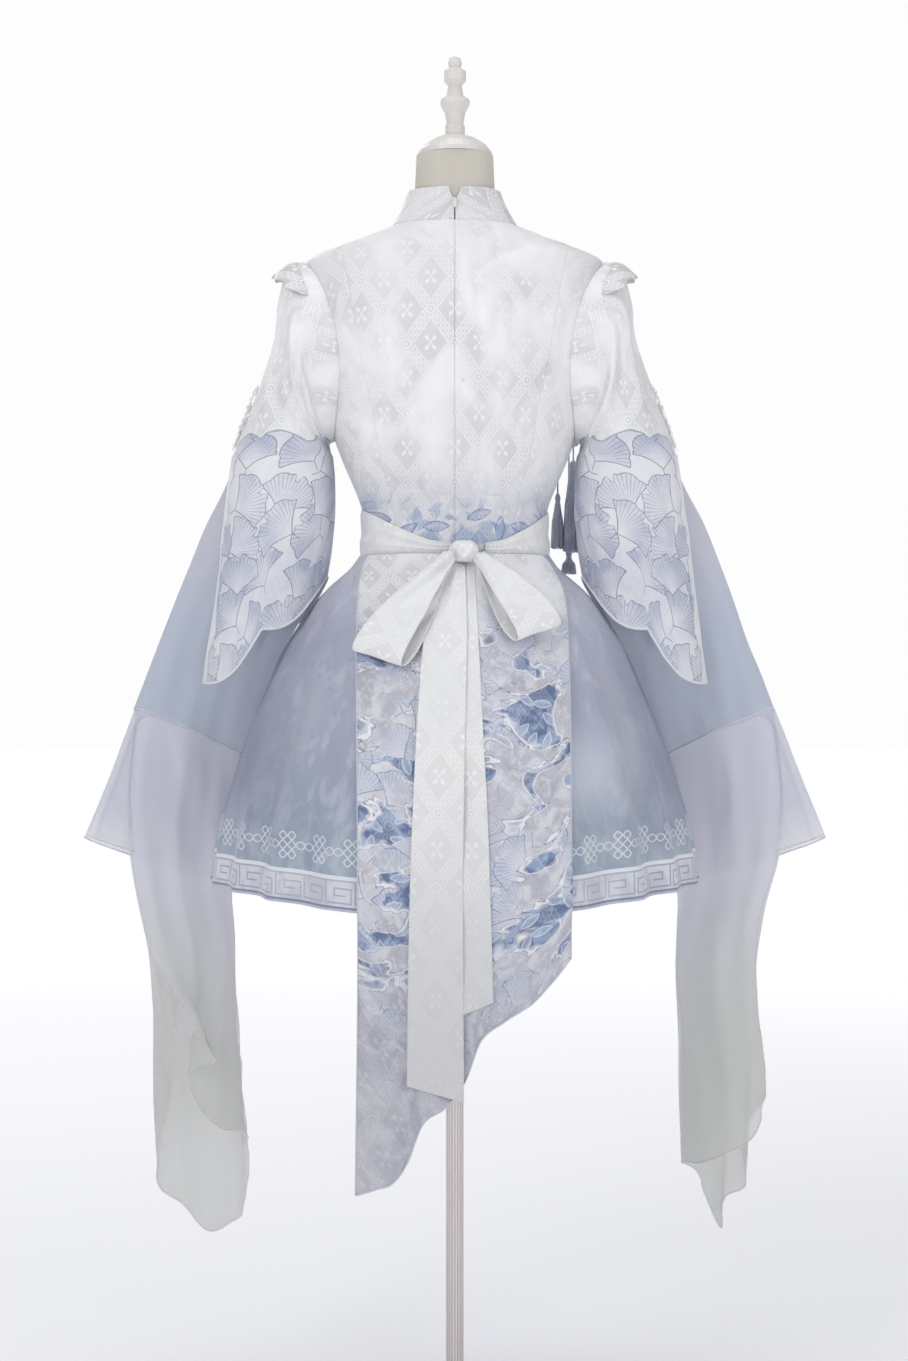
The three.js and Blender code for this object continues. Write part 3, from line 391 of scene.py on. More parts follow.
def roll(name, path, radius, count, around=8):
    """A rolled edge or a cord: a round tube along path(t), t from 0 to 1, closed at its ends."""
    build, column, row = grid_of(range(around + 1), range(count + 1))
    turn, t = column / around * TURN, row / count
    centre = path(t)
    step = 2e-3
    ahead = path(np.clip(t + step, 0, 1)) - path(np.clip(t - step, 0, 1))
    ahead /= np.maximum(np.linalg.norm(ahead, axis=1), 1e-12)[:, None]
    steep = np.abs(ahead[:, 1:2]) > 0.92
    guide = np.where(steep, np.array([[0, 0, 1.0]]), np.array([[0, 1.0, 0]]))
    side = np.cross(ahead, guide)
    side /= np.linalg.norm(side, axis=1)[:, None]
    out = np.cross(side, ahead)
    ring = side * np.cos(turn)[:, None] + out * np.sin(turn)[:, None]
    points = (centre + ring * radius) * MM
    length = np.linalg.norm(np.diff(path(np.linspace(0, 1, 60)), axis=0), axis=1).sum() * MM
    close_rings(build, points, turn * radius * MM, t * length)
    return finished(name, build)


def close_rings(build, points, u, v):
    """Shapes a grid into a closed body: its columns meet and its two ends are filled."""
    layer = build.loops.layers.uv.new("cloth")
    for face in build.faces:
        face.smooth = True
        for loop in face.loops:
            loop[layer].uv = (u[loop.vert.index], v[loop.vert.index])
    for vert, co in zip(build.verts, points):
        vert.co = co
    bmesh.ops.remove_doubles(build, verts=build.verts, dist=RING_MEETS)
    bmesh.ops.holes_fill(build, edges=[e for e in build.edges if e.is_boundary], sides=0)
    bmesh.ops.recalc_face_normals(build, faces=build.faces)


def along_points(points):
    """The path through a row of points in metres, as roll() takes it."""
    points = np.asarray(points) / MM
    far = np.append(0, np.cumsum(np.linalg.norm(np.diff(points, axis=0), axis=1)))
    return lambda t: np.stack(
        [np.interp(t * far[-1], far, points[:, k]) for k in range(3)], axis=-1)


# ---- shader maths ----
class Wire:
    """An output socket. Arithmetic on it adds Math nodes to the material in hand."""

    tree = None

    def __init__(self, socket):
        self.socket = socket

    @classmethod
    def node(cls, kind, settings=None, sockets=None, output=0):
        node = cls.tree.nodes.new(kind)
        for key, value in (settings or {}).items():
            setattr(node, key, value)
        for key, value in (sockets or {}).items():
            socket = node.inputs[key]
            if isinstance(value, Wire):
                cls.tree.links.new(value.socket, socket)
            else:
                socket.default_value = value
        return cls(node.outputs[output])

    @classmethod
    def math(cls, operation, *values):
        return cls.node("ShaderNodeMath", {"operation": operation}, dict(enumerate(values)))

    def __add__(self, other):
        return self.math("ADD", self, other)

    def __radd__(self, other):
        return self.math("ADD", other, self)

    def __sub__(self, other):
        return self.math("SUBTRACT", self, other)

    def __rsub__(self, other):
        return self.math("SUBTRACT", other, self)

    def __mul__(self, other):
        return self.math("MULTIPLY", self, other)

    def __rmul__(self, other):
        return self.math("MULTIPLY", other, self)

    def __truediv__(self, other):
        return self.math("DIVIDE", self, other)

    def __pow__(self, other):
        return self.math("POWER", self, other)

    def __abs__(self):
        return self.math("ABSOLUTE", self)

    def __lt__(self, other):
        return self.math("LESS_THAN", self, other)

    def __gt__(self, other):
        return self.math("GREATER_THAN", self, other)


def lesser(a, b):
    return Wire.math("MINIMUM", a, b)


def greater(a, b):
    return Wire.math("MAXIMUM", a, b)


def sine(value):
    return Wire.math("SINE", value)


def root(value):
    return Wire.math("SQRT", value)


def bearing(y, x):
    return Wire.math("ARCTAN2", y, x)


def cell(value):
    """The part of a value above its whole number, from -0.5 to 0.5."""
    return Wire.math("FRACT", value) - 0.5


def ease(value, low, high):
    """0 below low, 1 above high, smooth between; falls instead where low is above high."""
    settings = {"interpolation_type": "SMOOTHSTEP"}
    if low > high:
        return 1 - Wire.node("ShaderNodeMapRange", settings, {0: value, 1: high, 2: low})
    return Wire.node("ShaderNodeMapRange", settings, {0: value, 1: low, 2: high})


def xyz(x, y, z=0.0):
    return Wire.node("ShaderNodeCombineXYZ", None, {0: x, 1: y, 2: z})


def axis(vector, index):
    return Wire.node("ShaderNodeSeparateXYZ", None, {0: vector}, index)


def along_cloth():
    """The two lengths in metres that a cloth piece's UV map holds."""
    uv = Wire.node("ShaderNodeUVMap", {"uv_map": "cloth"})
    return axis(uv, 0), axis(uv, 1)


def in_object():
    return Wire.node("ShaderNodeTexCoord", None, None, 3)


def scaled(vector, x, y, z):
    return Wire.node("ShaderNodeVectorMath", {"operation": "MULTIPLY"}, {0: vector, 1: (x, y, z)})


def noise(vector, scale, detail=2.0, rough=0.5, warp=0.0):
    sockets = {"Vector": vector, "Scale": scale, "Detail": detail, "Roughness": rough,
               "Distortion": warp}
    return Wire.node("ShaderNodeTexNoise", None, sockets)


def tint(factor, low, high):
    """A colour between two colours; each is a wire or three numbers."""
    low, high = (c if isinstance(c, Wire) else (*c, 1) for c in (low, high))
    return Wire.node("ShaderNodeMix", {"data_type": "RGBA"}, {0: factor, 6: low, 7: high}, 2)


def layered(base, *coats):
    """Colours laid over a base, the lowest first: each is how much of it shows, and the colour."""
    for share, colour in coats:
        base = tint(share, base, colour)
    return base


def bump(height, distance=0.001):
    sockets = {"Height": height, "Distance": distance, "Strength": 1.0}
    return Wire.node("ShaderNodeBump", None, sockets)


MATERIALS = {}


def finish(name, build):
    """A material made once by build(), which returns the shader's inputs by name."""
    if name not in MATERIALS:
        material = bpy.data.materials.new(name)
        material.use_nodes = True
        Wire.tree = material.node_tree
        shader = material.node_tree.nodes["Principled BSDF"]
        for key, value in build().items():
            if isinstance(value, Wire):
                Wire.tree.links.new(value.socket, shader.inputs[key])
            else:
                shader.inputs[key].default_value = value
        MATERIALS[name] = material
    return MATERIALS[name]


def dress(piece, material):
    """Gives a piece of the garment its material and attaches it to the garment."""
    piece.data.materials.clear()
    piece.data.materials.append(material)
    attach(piece, "garment")
    return piece


# ---- weaves and patterns ----
def thread(u, v, pitch=0.0006):
    """The ribs of a plain weave, from 0 to 1."""
    return sine(u * (TURN / pitch)) * sine(v * (TURN / pitch)) * 0.5 + 0.5


def lattice(u, v, width, height):
    """A diamond jacquard: bands of small outlined squares that cross in round medallions,
    and a four-petalled flower in each plain diamond. 1 on the figure, 0 on the ground."""
    a, b = u / width + v / height, u / width - v / height
    fa, fb = cell(a), cell(b)
    reach = greater(abs(fa), abs(fb))
    square = greater(abs(cell(a * 6)), abs(cell(b * 6)))
    outlined = ease(square, 0.22, 0.28) * ease(square, 0.46, 0.4) + ease(square, 0.1, 0.06)
    band = ease(reach, 0.33, 0.336)
    ga, gb = cell(a + 0.5), cell(b + 0.5)
    du, dv = (ga + gb) * (width / 2), (ga - gb) * (height / 2)
    round_off = root(du * du + dv * dv)
    medallion = ease(abs(round_off - 0.0052), 0.0013, 0.0006) + ease(round_off, 0.002, 0.001)
    squares = outlined * band * ease(round_off, 0.0068, 0.0076) + medallion
    du, dv = abs(fa + fb) * (width / 2), abs(fa - fb) * (height / 2)
    along, off = du * 0.57 + dv * 0.82, abs(du * 0.82 - dv * 0.57)
    petal = ((along - 0.0076) / 0.0034) ** 2 + (off / 0.0022) ** 2
    stem = ease(off, 0.0008, 0.0004) * ease(along, 0.0055, 0.005)
    return lesser(greater(squares, greater(ease(petal, 1.15, 0.8), stem)), 1)


def satin(u, v, figure, painted_highlight=(0.87, 0.868, 0.885), painted_shade=(0.67, 0.67, 0.675), seed=0.0):
    """The jacquard's colour with painted light: broad patches of painted highlight where the figure
    almost goes, and painted shade where it stands out pale."""
    # painted highlight and painted shade: noise patches stand in for the satin's reflections
    glow = ease(noise(xyz(u + seed, v * 0.6, seed), 15.0, 3.0, 0.5, 0.7), 0.36, 0.68)
    ground = tint(glow, painted_shade, painted_highlight)
    return tint(figure * (0.72 - 0.44 * glow), ground, (0.93, 0.93, 0.94))


# ---- finishes ----
def woven(u, v, figure, colour):
    """The satin's shader inputs for a colour and the jacquard figure on it."""
    slub = noise(xyz(u * 30, v * 900), 1.0, 2.0)
    return {
        "Base Color": colour,
        "Roughness": 0.47 - figure * 0.15 + slub * 0.07,
        "Normal": bump(figure * 0.35 + thread(u, v) * 0.25 + slub * 0.3, 0.0002),
        "Sheen Weight": 0.2,
        "Sheen Roughness": 0.4,
        "Specular IOR Level": 0.6,
    }


def diamonds(u, v):
    repeat = bpy.context.scene.dress_sizes.repeat
    return lattice(u, v, repeat, repeat * 1.45)


def jacquard():
    """Ivory-white satin jacquard, with painted highlight and painted shade."""
    u, v = along_cloth()
    figure = diamonds(u, v)
    return woven(u, v, figure, satin(u, v, figure, (0.70, 0.70, 0.71), (0.55, 0.55, 0.555)))


def bodice_cloth():
    """The jacquard with its watercolour wash and leaf sprays above the waist, painted highlight and
    shade on the satin, and painted shade over the shoulder yoke.
    """
    colour = bpy.context.scene.dress_colours
    u, v = along_cloth()
    figure = diamonds(u, v)
    spot = in_object()
    height = axis(spot, 2)
    small = noise(spot, 38.0, 4.0, 0.6, 0.4)
    large = noise(spot, 9.0, 5.0, 0.62, 0.6)
    across = spot_x(spot)
    mottled = ease(large * 0.7 + small * 0.3, 0.38, 0.6)
    washed = tint(mottled, (0.66, 0.66, 0.71), (0.42, 0.43, 0.51))
    low = ease(height + large * 0.11, 1.265, 1.175)
    near = ease(height + small * 0.05, 1.195, 1.16)
    pool = ease(noise(xyz(across, height, 5.0), 26.0, 3.0, 0.5, 1.5), 0.5, 0.58)
    sprays, rims = leaves(across, height, 27.0, 11.0)
    return woven(u, v, figure, layered(
        satin(across, height, figure),
        # painted shade: the satin over the shoulder yoke is painted greyer
        (ease(height + large * 0.05, 1.40, 1.50) * 0.45, (0.69, 0.69, 0.70)),
        (low * 0.8, washed),
        (pool * near * 0.75, tuple(colour.print_blue)),
        (sprays * near * 0.85, (0.30, 0.37, 0.56)),
        (rims * near * 0.75, (0.12, 0.17, 0.34)),
        (figure * low * 0.3, (0.86, 0.86, 0.89)),
    ))


def spot_x(spot):
    """Across the body: x, with a little of y so that the sides aren't streaked."""
    return axis(spot, 0) + axis(spot, 1) * 0.4


def scattered(spot, uneven):
    """A field of points: the way to a spot from the nearest one, and that one's chance numbers."""
    sockets = {"Vector": spot, "Scale": 1.0, "Randomness": uneven}
    chance, near = (Wire.node("ShaderNodeTexVoronoi", {"voronoi_dimensions": "2D"}, sockets, output)
                    for output in (1, 2))
    away = Wire.node("ShaderNodeVectorMath", {"operation": "SUBTRACT"}, {0: spot, 1: near})
    return axis(away, 0), axis(away, 1), chance


def turned_by(angle, x, y):
    """How far a place lies along and off a line turned by an angle."""
    c, s = Wire.math("COSINE", angle), sine(angle)
    return x * c + y * s, y * c - x * s


def leaves(u, v, scale, seed):
    """Scattered pointed leaves with a rim: the leaf's body and its rim, each from 0 to 1."""
    x, y, chance = scattered(xyz(u * scale, v * scale), 0.75)
    run, off = turned_by(axis(chance, 0) * TURN + seed, x, y)
    off = abs(off)
    half = 0.16 * (1 - (run / 0.42) ** 2)
    body = ease(half - off, 0.0, 0.02)
    rim = ease(abs(half - off), 0.035, 0.012) * ease(abs(run), 0.44, 0.4)
    vein = ease(off, 0.016, 0.006) * body
    return greater(body * 0.75 - vein * 0.5, 0.0), rim


def fans(u, v, scale, seed):
    """Scattered fan leaves on stalks: body, fine veins, outline, and how far out on the leaf."""
    x, y, chance = scattered(xyz(u * scale, v * scale + seed), 0.22)
    run, off = turned_by((axis(chance, 1) - 0.5) * 2.6, x, y)
    off = off + 0.2
    reach = root(run * run + off * off)
    angle = bearing(run, off)
    notch = ease(abs(angle), 0.13, 0.0) * 0.1
    lobes = abs(sine(angle * 5.5 + 1.2)) * 0.03
    outer = 0.46 + lobes - notch - angle * angle * 0.06
    limit = 0.82 + reach * 0.62
    spread = ease(limit - abs(angle), 0.0, 0.02)
    body = ease(outer - reach, 0.0, 0.005) * spread
    sides = ease(abs(abs(angle) - limit) * reach, 0.008, 0.004) * ease(outer - reach, -0.006, 0.0)
    rim = greater(ease(abs(outer - reach), 0.008, 0.004) * spread, sides)
    veins = ease(abs(cell(angle * 8.0 + reach)), 0.34, 0.45) * body * ease(reach, 0.06, 0.14)
    stalk = ease(abs(run + off * off), 0.007, 0.003)
    stalk = stalk * ease(off, 0.014, 0.0) * ease(off, -0.13, -0.12)
    return body, veins, greater(rim, stalk), ease(reach, 0.08, 0.40)


def overlapping_fans(u, v, scale, seed):
    """Layers of fan leaves, each lying over the next."""
    bodies, veins, lines, depths, bare = 0, 0, 0, 0, 1
    for k, (du, dv) in enumerate(((0.0, 0.0), (0.5, 0.5), (0.0, 0.5), (0.5, 0.0))):
        body, vein, line, depth = fans(u + du / scale, v + dv / scale, scale, seed + 3.0 * k)
        bodies, veins = greater(body, bodies), greater(vein * bare, veins)
        lines, depths = greater(line * bare, lines), greater(body * depth * bare, depths)
        bare = bare * (1 - body)
    return bodies, veins, lines, depths


def skirt_cloth():
    """Dusty-blue watercolour sateen with a knot chain and a meander band at the hem, and painted
    shade at its sides and by the left sleeve.
    """
    size, colour = bpy.context.scene.dress_sizes, bpy.context.scene.dress_colours
    u, v = along_cloth()
    spot = in_object()
    height = axis(spot, 2)
    large = noise(spot, 6.0, 5.0, 0.62, 0.8)
    small = noise(scaled(spot, 1, 1, 0.6), 34.0, 5.0, 0.65, 0.6)
    upper = tint(ease(large, 0.4, 0.58), tuple(colour.skirt_lavender), (0.43, 0.455, 0.57))
    mottled = ease(large * 0.6 + small * 0.4, 0.4, 0.58)
    lower = tint(mottled, (0.40, 0.46, 0.545), tuple(colour.skirt_blue))
    pool = ease(abs(large - 0.47), 0.02, 0.0) * ease(small, 0.42, 0.56)
    base = layered(
        upper,
        (ease(height + small * 0.2 + large * 0.14, 1.08, 0.9), lower),
        (ease(small, 0.5, 0.66) * 0.6, (0.62, 0.64, 0.71)),
        (pool * 0.35, (0.26, 0.29, 0.42)),
        (ease(height + large * 0.1, 1.12, 0.95) * 0.24, (0.19, 0.23, 0.33)),
    )
    across = axis(spot, 0) + small * 0.06
    # a pale patch, and a dark one that is painted shade by the left sleeve: the place across, the
    # height, the reach, the strength, the colour
    pale_patch_and_painted_shade = (
        (-0.13, 0.83, 0.11, 0.7, (0.62, 0.66, 0.74)),
        (0.20, 0.99, 0.10, 0.45, (0.25, 0.27, 0.38)),
    )
    for middle, level, reach, strength, shade in pale_patch_and_painted_shade:
        away = root((across - middle) ** 2 + (height - level) ** 2)
        base = tint(ease(away + large * 0.05, reach, reach * 0.3) * strength, base, shade)
    # painted shade: the skirt darkens out towards its sides, above the hem
    side = ease(abs(axis(spot, 0)) + large * 0.08, 0.19, 0.30)
    band = layered(
        tint(ease(small, 0.4, 0.6), (0.56, 0.575, 0.635), (0.68, 0.69, 0.75)),
        (meander(u, v, size.band) * (0.85 - 0.35 * ease(large, 0.4, 0.6)), (0.29, 0.32, 0.45)),
        (ease(v, 0.0352, 0.0358), (0.76, 0.78, 0.82)),
        (ease(abs(v - 0.0041), 0.0017, 0.0011) * 0.85, (0.17, 0.19, 0.33)),
        (ease(v, 0.0026, 0.0018) * 0.7, (0.44, 0.47, 0.58)),
    )
    base = layered(
        base,
        # the painted side shade
        (side * ease(height, 0.70, 0.78) * 0.74, (0.22, 0.245, 0.35)),
        (ease(v, 0.17, 0.05) * ease(small, 0.35, 0.6) * 0.5, (0.46, 0.515, 0.59)),
        (knot_chain(u, v - size.chain_height) * 0.82, (0.74, 0.76, 0.81)),
        (ease(v, size.band + 0.0004, size.band - 0.0004), band),
    )
    return {
        "Base Color": base,
        "Roughness": 0.58 - small * 0.08,
        "Normal": bump(thread(u, v) * 0.4 + small * 0.3, 0.0002),
        "Sheen Weight": 0.2,
        "Sheen Roughness": 0.5,
    }


def meander(u, v, band):
    """A Greek key in a thin line: a stroke down from the top rail winds into a square spiral."""
    repeat, low, high = 0.0385, 0.0056, band - 0.0054
    x, y = Wire.math("FRACT", u / repeat), (v - low) / (high - low)
    # each stroke of one repeat, as shares of its width and height: along x or y, at, from, to
    strokes = (
        ("x", 1.0, -0.05, 1.05), ("y", 0.0, 0.13, 1.05), ("y", 1.0, 0.13, 1.05),
        ("x", 0.13, 0.14, 1.0), ("y", 0.14, 0.13, 0.7), ("x", 0.7, 0.14, 0.7),
        ("y", 0.7, 0.42, 0.7), ("x", 0.42, 0.36, 0.7),
    )
    drawn = 0
    for way, at, start, end in strokes:
        run, off = (x, y) if way == "x" else (y, x)
        thick = 0.036 if way == "x" else 0.026
        stroke = ease(abs(off - at), thick * 1.15, thick * 0.75)
        drawn = greater(drawn, stroke * (run > start - thick * 0.8) * (run < end + thick * 0.8))
    return drawn


def knot_chain(u, v):
    """Endless knots, each a woven square with four corner loops, joined by pairs of rings."""
    pitch, wide, tall = 0.048, 0.0059, 0.0055
    x, y = abs(cell(u / pitch)) * pitch, abs(v)
    a, b = x / wide + y / tall, x / wide - y / tall
    reach = greater(abs(a), abs(b))
    frame_line = ease(abs(reach - 2), 0.24, 0.15)
    cross = greater(ease(abs(a), 0.24, 0.15), ease(abs(b), 0.24, 0.15)) * ease(reach, 2.1, 2.0)
    loop = (abs(a - 3) ** 3 + abs(b + 1) ** 3) ** (1 / 3)
    loop_line = ease(abs(loop - 1), 0.24, 0.15)
    far = (x - 0.0179) / 0.0061
    ring = (abs(far) ** 1.6 + (y / 0.0044) ** 1.6) ** (1 / 1.6)
    ring_line = ease(abs(ring - 1), 0.19, 0.12)
    return greater(greater(frame_line, cross), greater(loop_line, ring_line))


def panel_cloth():
    """Grey-lavender print on the jacquard: a generic wash with leaves and pale rims, and white
    satin with painted highlight and shade at its top.
    """
    colour = bpy.context.scene.dress_colours
    u, v = along_cloth()
    figure = diamonds(u, v)
    drift = noise(xyz(u, v, 1.0), 7.0, 4.0, 0.6, 1.2)
    small = noise(xyz(u, v, 2.0), 45.0, 4.0, 0.62, 0.5)
    field = noise(xyz(u, v * 1.6, 7.0), 11.0, 3.0, 0.5, 0.9)
    middle = ease(v, -0.66, -0.52) * ease(v, -0.08, -0.17)
    pool = ease(field, 0.53, 0.57) * middle
    body, veins, lines, depth = overlapping_fans(u, v, 11.0, 0.3)
    shown = ease(drift, 0.54, 0.44) * ease(v, -0.70, -0.6) * (1 - pool)
    sprays, rims = leaves(u, v, 34.0, 2.0)
    return woven(u, v, figure, layered(
        tint(ease(drift, 0.38, 0.62), (0.60, 0.60, 0.65), (0.44, 0.44, 0.51)),
        (ease(small, 0.45, 0.62) * 0.55, (0.80, 0.80, 0.83)),
        (pool * 0.95, tint(ease(small, 0.42, 0.6), (0.09, 0.14, 0.29), tuple(colour.print_blue))),
        (ease(abs(field - 0.519), 0.012, 0.006) * middle * 0.85, (0.83, 0.84, 0.88)),
        (ease(abs(field - 0.503), 0.0035, 0.002) * middle * 0.8, (0.13, 0.18, 0.34)),
        (body * shown * 0.4, (0.68, 0.69, 0.75)),
        (depth * body * shown * 0.45, (0.38, 0.45, 0.62)),
        (veins * shown * 0.55, (0.22, 0.28, 0.47)),
        (lines * shown * 0.8, (0.13, 0.18, 0.36)),
        (sprays * pool * 0.8, (0.44, 0.52, 0.68)),
        (rims * pool * 0.6, (0.82, 0.84, 0.9)),
        (ease(v + drift * 0.1, -0.40, -0.66) * 0.42, (0.30, 0.30, 0.36)),
        # the white satin at the top, with painted highlight and shade
        (ease(v + drift * 0.12, -0.10, 0.0),
         satin(u, v, figure, (0.80, 0.80, 0.83), (0.62, 0.62, 0.64))),
        (figure * 0.2, (0.86, 0.86, 0.9)),
    ))


def printed_fans(u, v, white):
    """White cloth whose print starts at an outlined scalloped edge just above v = 0."""
    drift = noise(xyz(u, v, 4.0), 26.0, 4.0, 0.62, 0.5)
    soft = noise(xyz(u, v, 9.0), 12.0, 2.0, 0.5, 0.4)
    blotch = ease(soft * 0.6 + drift * 0.4, 0.42, 0.58)
    body, veins, lines, depth = overlapping_fans(u, v, 9.5, 0.1)
    base = layered(
        tint(blotch * 0.6, (0.76, 0.765, 0.80), (0.59, 0.61, 0.70)),
        (depth * body * (0.3 + blotch * 0.6), (0.44, 0.47, 0.59)),
        (veins * 0.62, (0.24, 0.27, 0.42)),
        (lines * 0.85, (0.17, 0.19, 0.30)),
    )
    edge = 0.004 + abs(sine(u * 58.0 + soft * 5.0)) * 0.009 + soft * 0.028 - v
    side = u - 0.004 - abs(sine(v * 46.0 + drift * 4.0)) * 0.013 - drift * 0.024
    inside = lesser(edge, side)
    return layered(
        white,
        (ease(inside, -0.0004, 0.0004), base),
        (ease(abs(inside), 0.0013, 0.0006) * 0.75, (0.26, 0.29, 0.40)),
    )


def sleeve_cloth():
    """White jacquard with painted highlight and shade; the cuff's print begins just above its lower
    edge.
    """
    u, v = along_cloth()
    figure = diamonds(u, v)
    return woven(u, v, figure, printed_fans(u, v, satin(u, v, figure, seed=2.0)))


def cuff_cloth():
    """White jacquard with painted highlight and shade, and lavender fan leaves, outlined and finely
    veined.
    """
    u, v = along_cloth()
    u = u + 0.0075
    figure = diamonds(u, v)
    printed = printed_fans(u, v, satin(u, v, figure, seed=2.0))
    return woven(u, v, figure, tint(figure * 0.15, printed, (0.92, 0.92, 0.95)))


def sash_jacquard():
    """Ivory jacquard, a little warmer than the bodice's, with painted highlight and shade; darker
    towards the bottom of the tails.
    """
    colour = tuple(bpy.context.scene.dress_colours.sash)
    u, v = along_cloth()
    figure = diamonds(u, v)
    white = satin(u, v, figure, colour, (0.76, 0.76, 0.755), 5.0)
    return woven(u, v, figure, tint(ease(v, -0.26, -0.62) * 0.55, white, (0.50, 0.50, 0.53)))


def sheer(top, foot, low, thick, glow, clear=0.0):
    """Organza of a colour at its top and at its foot, low being the two lengths down between
    which it changes; thick is how much of it is opaque, and clear how much less by its outer edge.
    It has a painted glow: emission stands in for the light that passes through."""
    def build():
        u, v = along_cloth()
        drift = noise(xyz(u, v * 0.4), 8.0, 3.0)
        mesh = greater(sine(u * (TURN / 0.0009)), sine(v * (TURN / 0.0009)))
        colour = tint(ease(v + drift * 0.05, low[0], low[1]), top, foot)
        return {
            "Base Color": colour,
            # painted glow: emission in the organza's own colour stands in for light passing through
            "Emission Color": colour,
            "Emission Strength": glow,
            "Alpha": thick + mesh * 0.05 + drift * 0.1 - ease(abs(u), 0.09, 0.03) * clear,
            "Roughness": 0.5,
            "Normal": bump(mesh, 0.0001),
            "Sheen Weight": 0.3,
            "Sheen Roughness": 0.4,
            "Specular IOR Level": 0.4,
        }
    return build


def plain(colour, rough, grain=0.0, scale=400.0, shade=0.04):
    """An even finish with fine grain and slight variation."""
    def build():
        spot = in_object()
        fine = noise(spot, scale, 3.0, 0.6)
        broad = noise(spot, 12.0, 3.0)
        dark = tuple(c * (1 - shade * 3) for c in colour)
        return {
            "Base Color": tint(broad, dark, tuple(colour)),
            "Roughness": rough + fine * 0.1,
            "Normal": bump(fine, max(grain, 1e-5) * MM),
        }
    return build


def beadwork():
    """White beads and sequins, with a painted glow that stands in for their glints from all sides.
    """
    return {
        **plain((0.92, 0.92, 0.94), 0.4, 0.2, 600.0)(),
        # painted glow for the glints
        "Emission Color": (0.9, 0.9, 0.93, 1),
        "Emission Strength": 0.14,
    }


def linen():
    """Natural linen over the form, with a plain weave that shows."""
    spot = in_object()
    around = bearing(axis(spot, 0), axis(spot, 1)) * 0.05
    height = axis(spot, 2)
    weave = thread(around, height, 0.0011)
    slub = noise(xyz(around * 1200, height * 90), 1.0, 2.0)
    tone = tint(slub * 0.6 + weave * 0.4, (0.62, 0.58, 0.50), (0.78, 0.745, 0.67))
    return {
        "Base Color": tone,
        "Roughness": 0.85 + weave * 0.1,
        "Normal": bump(weave + slub * 0.6, 0.0004),
    }


def reeded_pole():
    """Painted pole with fine vertical reeding; its colour darkens in the reeds' hollows, painted
    shade.
    """
    spot = in_object()
    angle = bearing(axis(spot, 0), axis(spot, 1))
    reed = abs(sine(angle * 9.0))
    worn = noise(scaled(spot, 1, 1, 0.1), 90.0, 3.0)
    return {
        # painted shade darkens the hollows between the reeds
        "Base Color": tint(reed * 0.7 + worn * 0.3, (0.58, 0.50, 0.49), (0.93, 0.87, 0.86)),
        "Roughness": 0.35 + worn * 0.1,
        "Normal": bump(reed, 0.0012),
    }


def thread_bundle():
    """Long silk threads."""
    u, v = along_cloth()
    strand = noise(xyz(u * 2600, v * 30), 1.0, 2.0)
    return {
        "Base Color": tint(ease(strand, 0.35, 0.65), (0.38, 0.405, 0.52), (0.68, 0.70, 0.79)),
        "Roughness": 0.42,
        "Normal": bump(strand, 0.0006),
        "Sheen Weight": 0.3,
    }


# ---- sizes and colours a user may change ----
class DressSizes(bpy.types.PropertyGroup):
    """Sizes of the cloth and its patterns."""

    cloth: bpy.props.FloatProperty(
        name="Cloth", description="Thickness of the jacquard and printed cloth, in millimetres",
        default=0.9)
    organza: bpy.props.FloatProperty(
        name="Organza", description="Thickness of the organza, in millimetres", default=0.35)
    step: bpy.props.FloatProperty(
        name="Step", description="Largest face of the cloth, in millimetres", default=4.0)
    repeat: bpy.props.FloatProperty(
        name="Jacquard repeat", description="Width of one diamond", default=0.058, unit="LENGTH")
    band: bpy.props.FloatProperty(
        name="Hem band", description="Height of the meander band", default=0.040, unit="LENGTH")
    chain_height: bpy.props.FloatProperty(
        name="Chain height", description="Middle of the knot chain above the hem", default=0.067,
        unit="LENGTH")


class DressColours(bpy.types.PropertyGroup):
    """Colours of the cloth."""

    print_blue: bpy.props.FloatVectorProperty(
        name="Print blue", description="Deep blue of the printed wash", default=(0.26, 0.35, 0.53),
        subtype="COLOR", min=0, max=1)
    skirt_blue: bpy.props.FloatVectorProperty(
        name="Skirt blue", description="Dusty blue of the skirt", default=(0.29, 0.36, 0.47),
        subtype="COLOR", min=0, max=1)
    skirt_lavender: bpy.props.FloatVectorProperty(
        name="Skirt lavender", description="Lavender grey at the top of the skirt",
        default=(0.47, 0.475, 0.56), subtype="COLOR", min=0, max=1)
    sash: bpy.props.FloatVectorProperty(
        name="Sash", description="Ivory of the sash and bow", default=(0.78, 0.785, 0.79),
        subtype="COLOR", min=0, max=1)


# ---- pieces ----
def sewn(piece, material):
    dress(piece, material)
    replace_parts(piece, piece.name.removesuffix("_cloth"))


def finish_solids(table):
    """Gives solids of the frame their materials; each row names a solid and its material."""
    for name, material in table:
        materials = bpy.data.objects[name].data.materials
        materials.clear()
        materials.append(material)


# marks as creases() takes them
BACK_CREASES = {
    "left": [
        (0.020, 0.235, 64, 0.075, 0.011, 3.8), (0.050, 0.290, 52, 0.060, 0.010, -3.6),
        (0.012, 0.125, 24, 0.050, 0.009, 2.8), (0.035, 0.075, 15, 0.055, 0.008, -3.4),
        (0.000, 0.045, -8, 0.055, 0.007, 2.8), (0.065, 0.165, 38, 0.055, 0.010, 2.6),
        (0.075, 0.215, 96, 0.080, 0.010, -2.6), (0.050, 0.385, 24, 0.045, 0.010, 2.8),
    ],
    "right": [
        (0.015, 0.225, 60, 0.080, 0.011, -3.6), (0.040, 0.280, 62, 0.065, 0.010, 3.6),
        (0.015, 0.105, 20, 0.055, 0.009, -2.8), (0.028, 0.055, -10, 0.050, 0.008, 3.2),
        (0.055, 0.190, 42, 0.055, 0.010, 2.8), (0.085, 0.235, 98, 0.090, 0.010, 2.6),
        (0.060, 0.370, 32, 0.045, 0.009, -2.6),
    ],
}


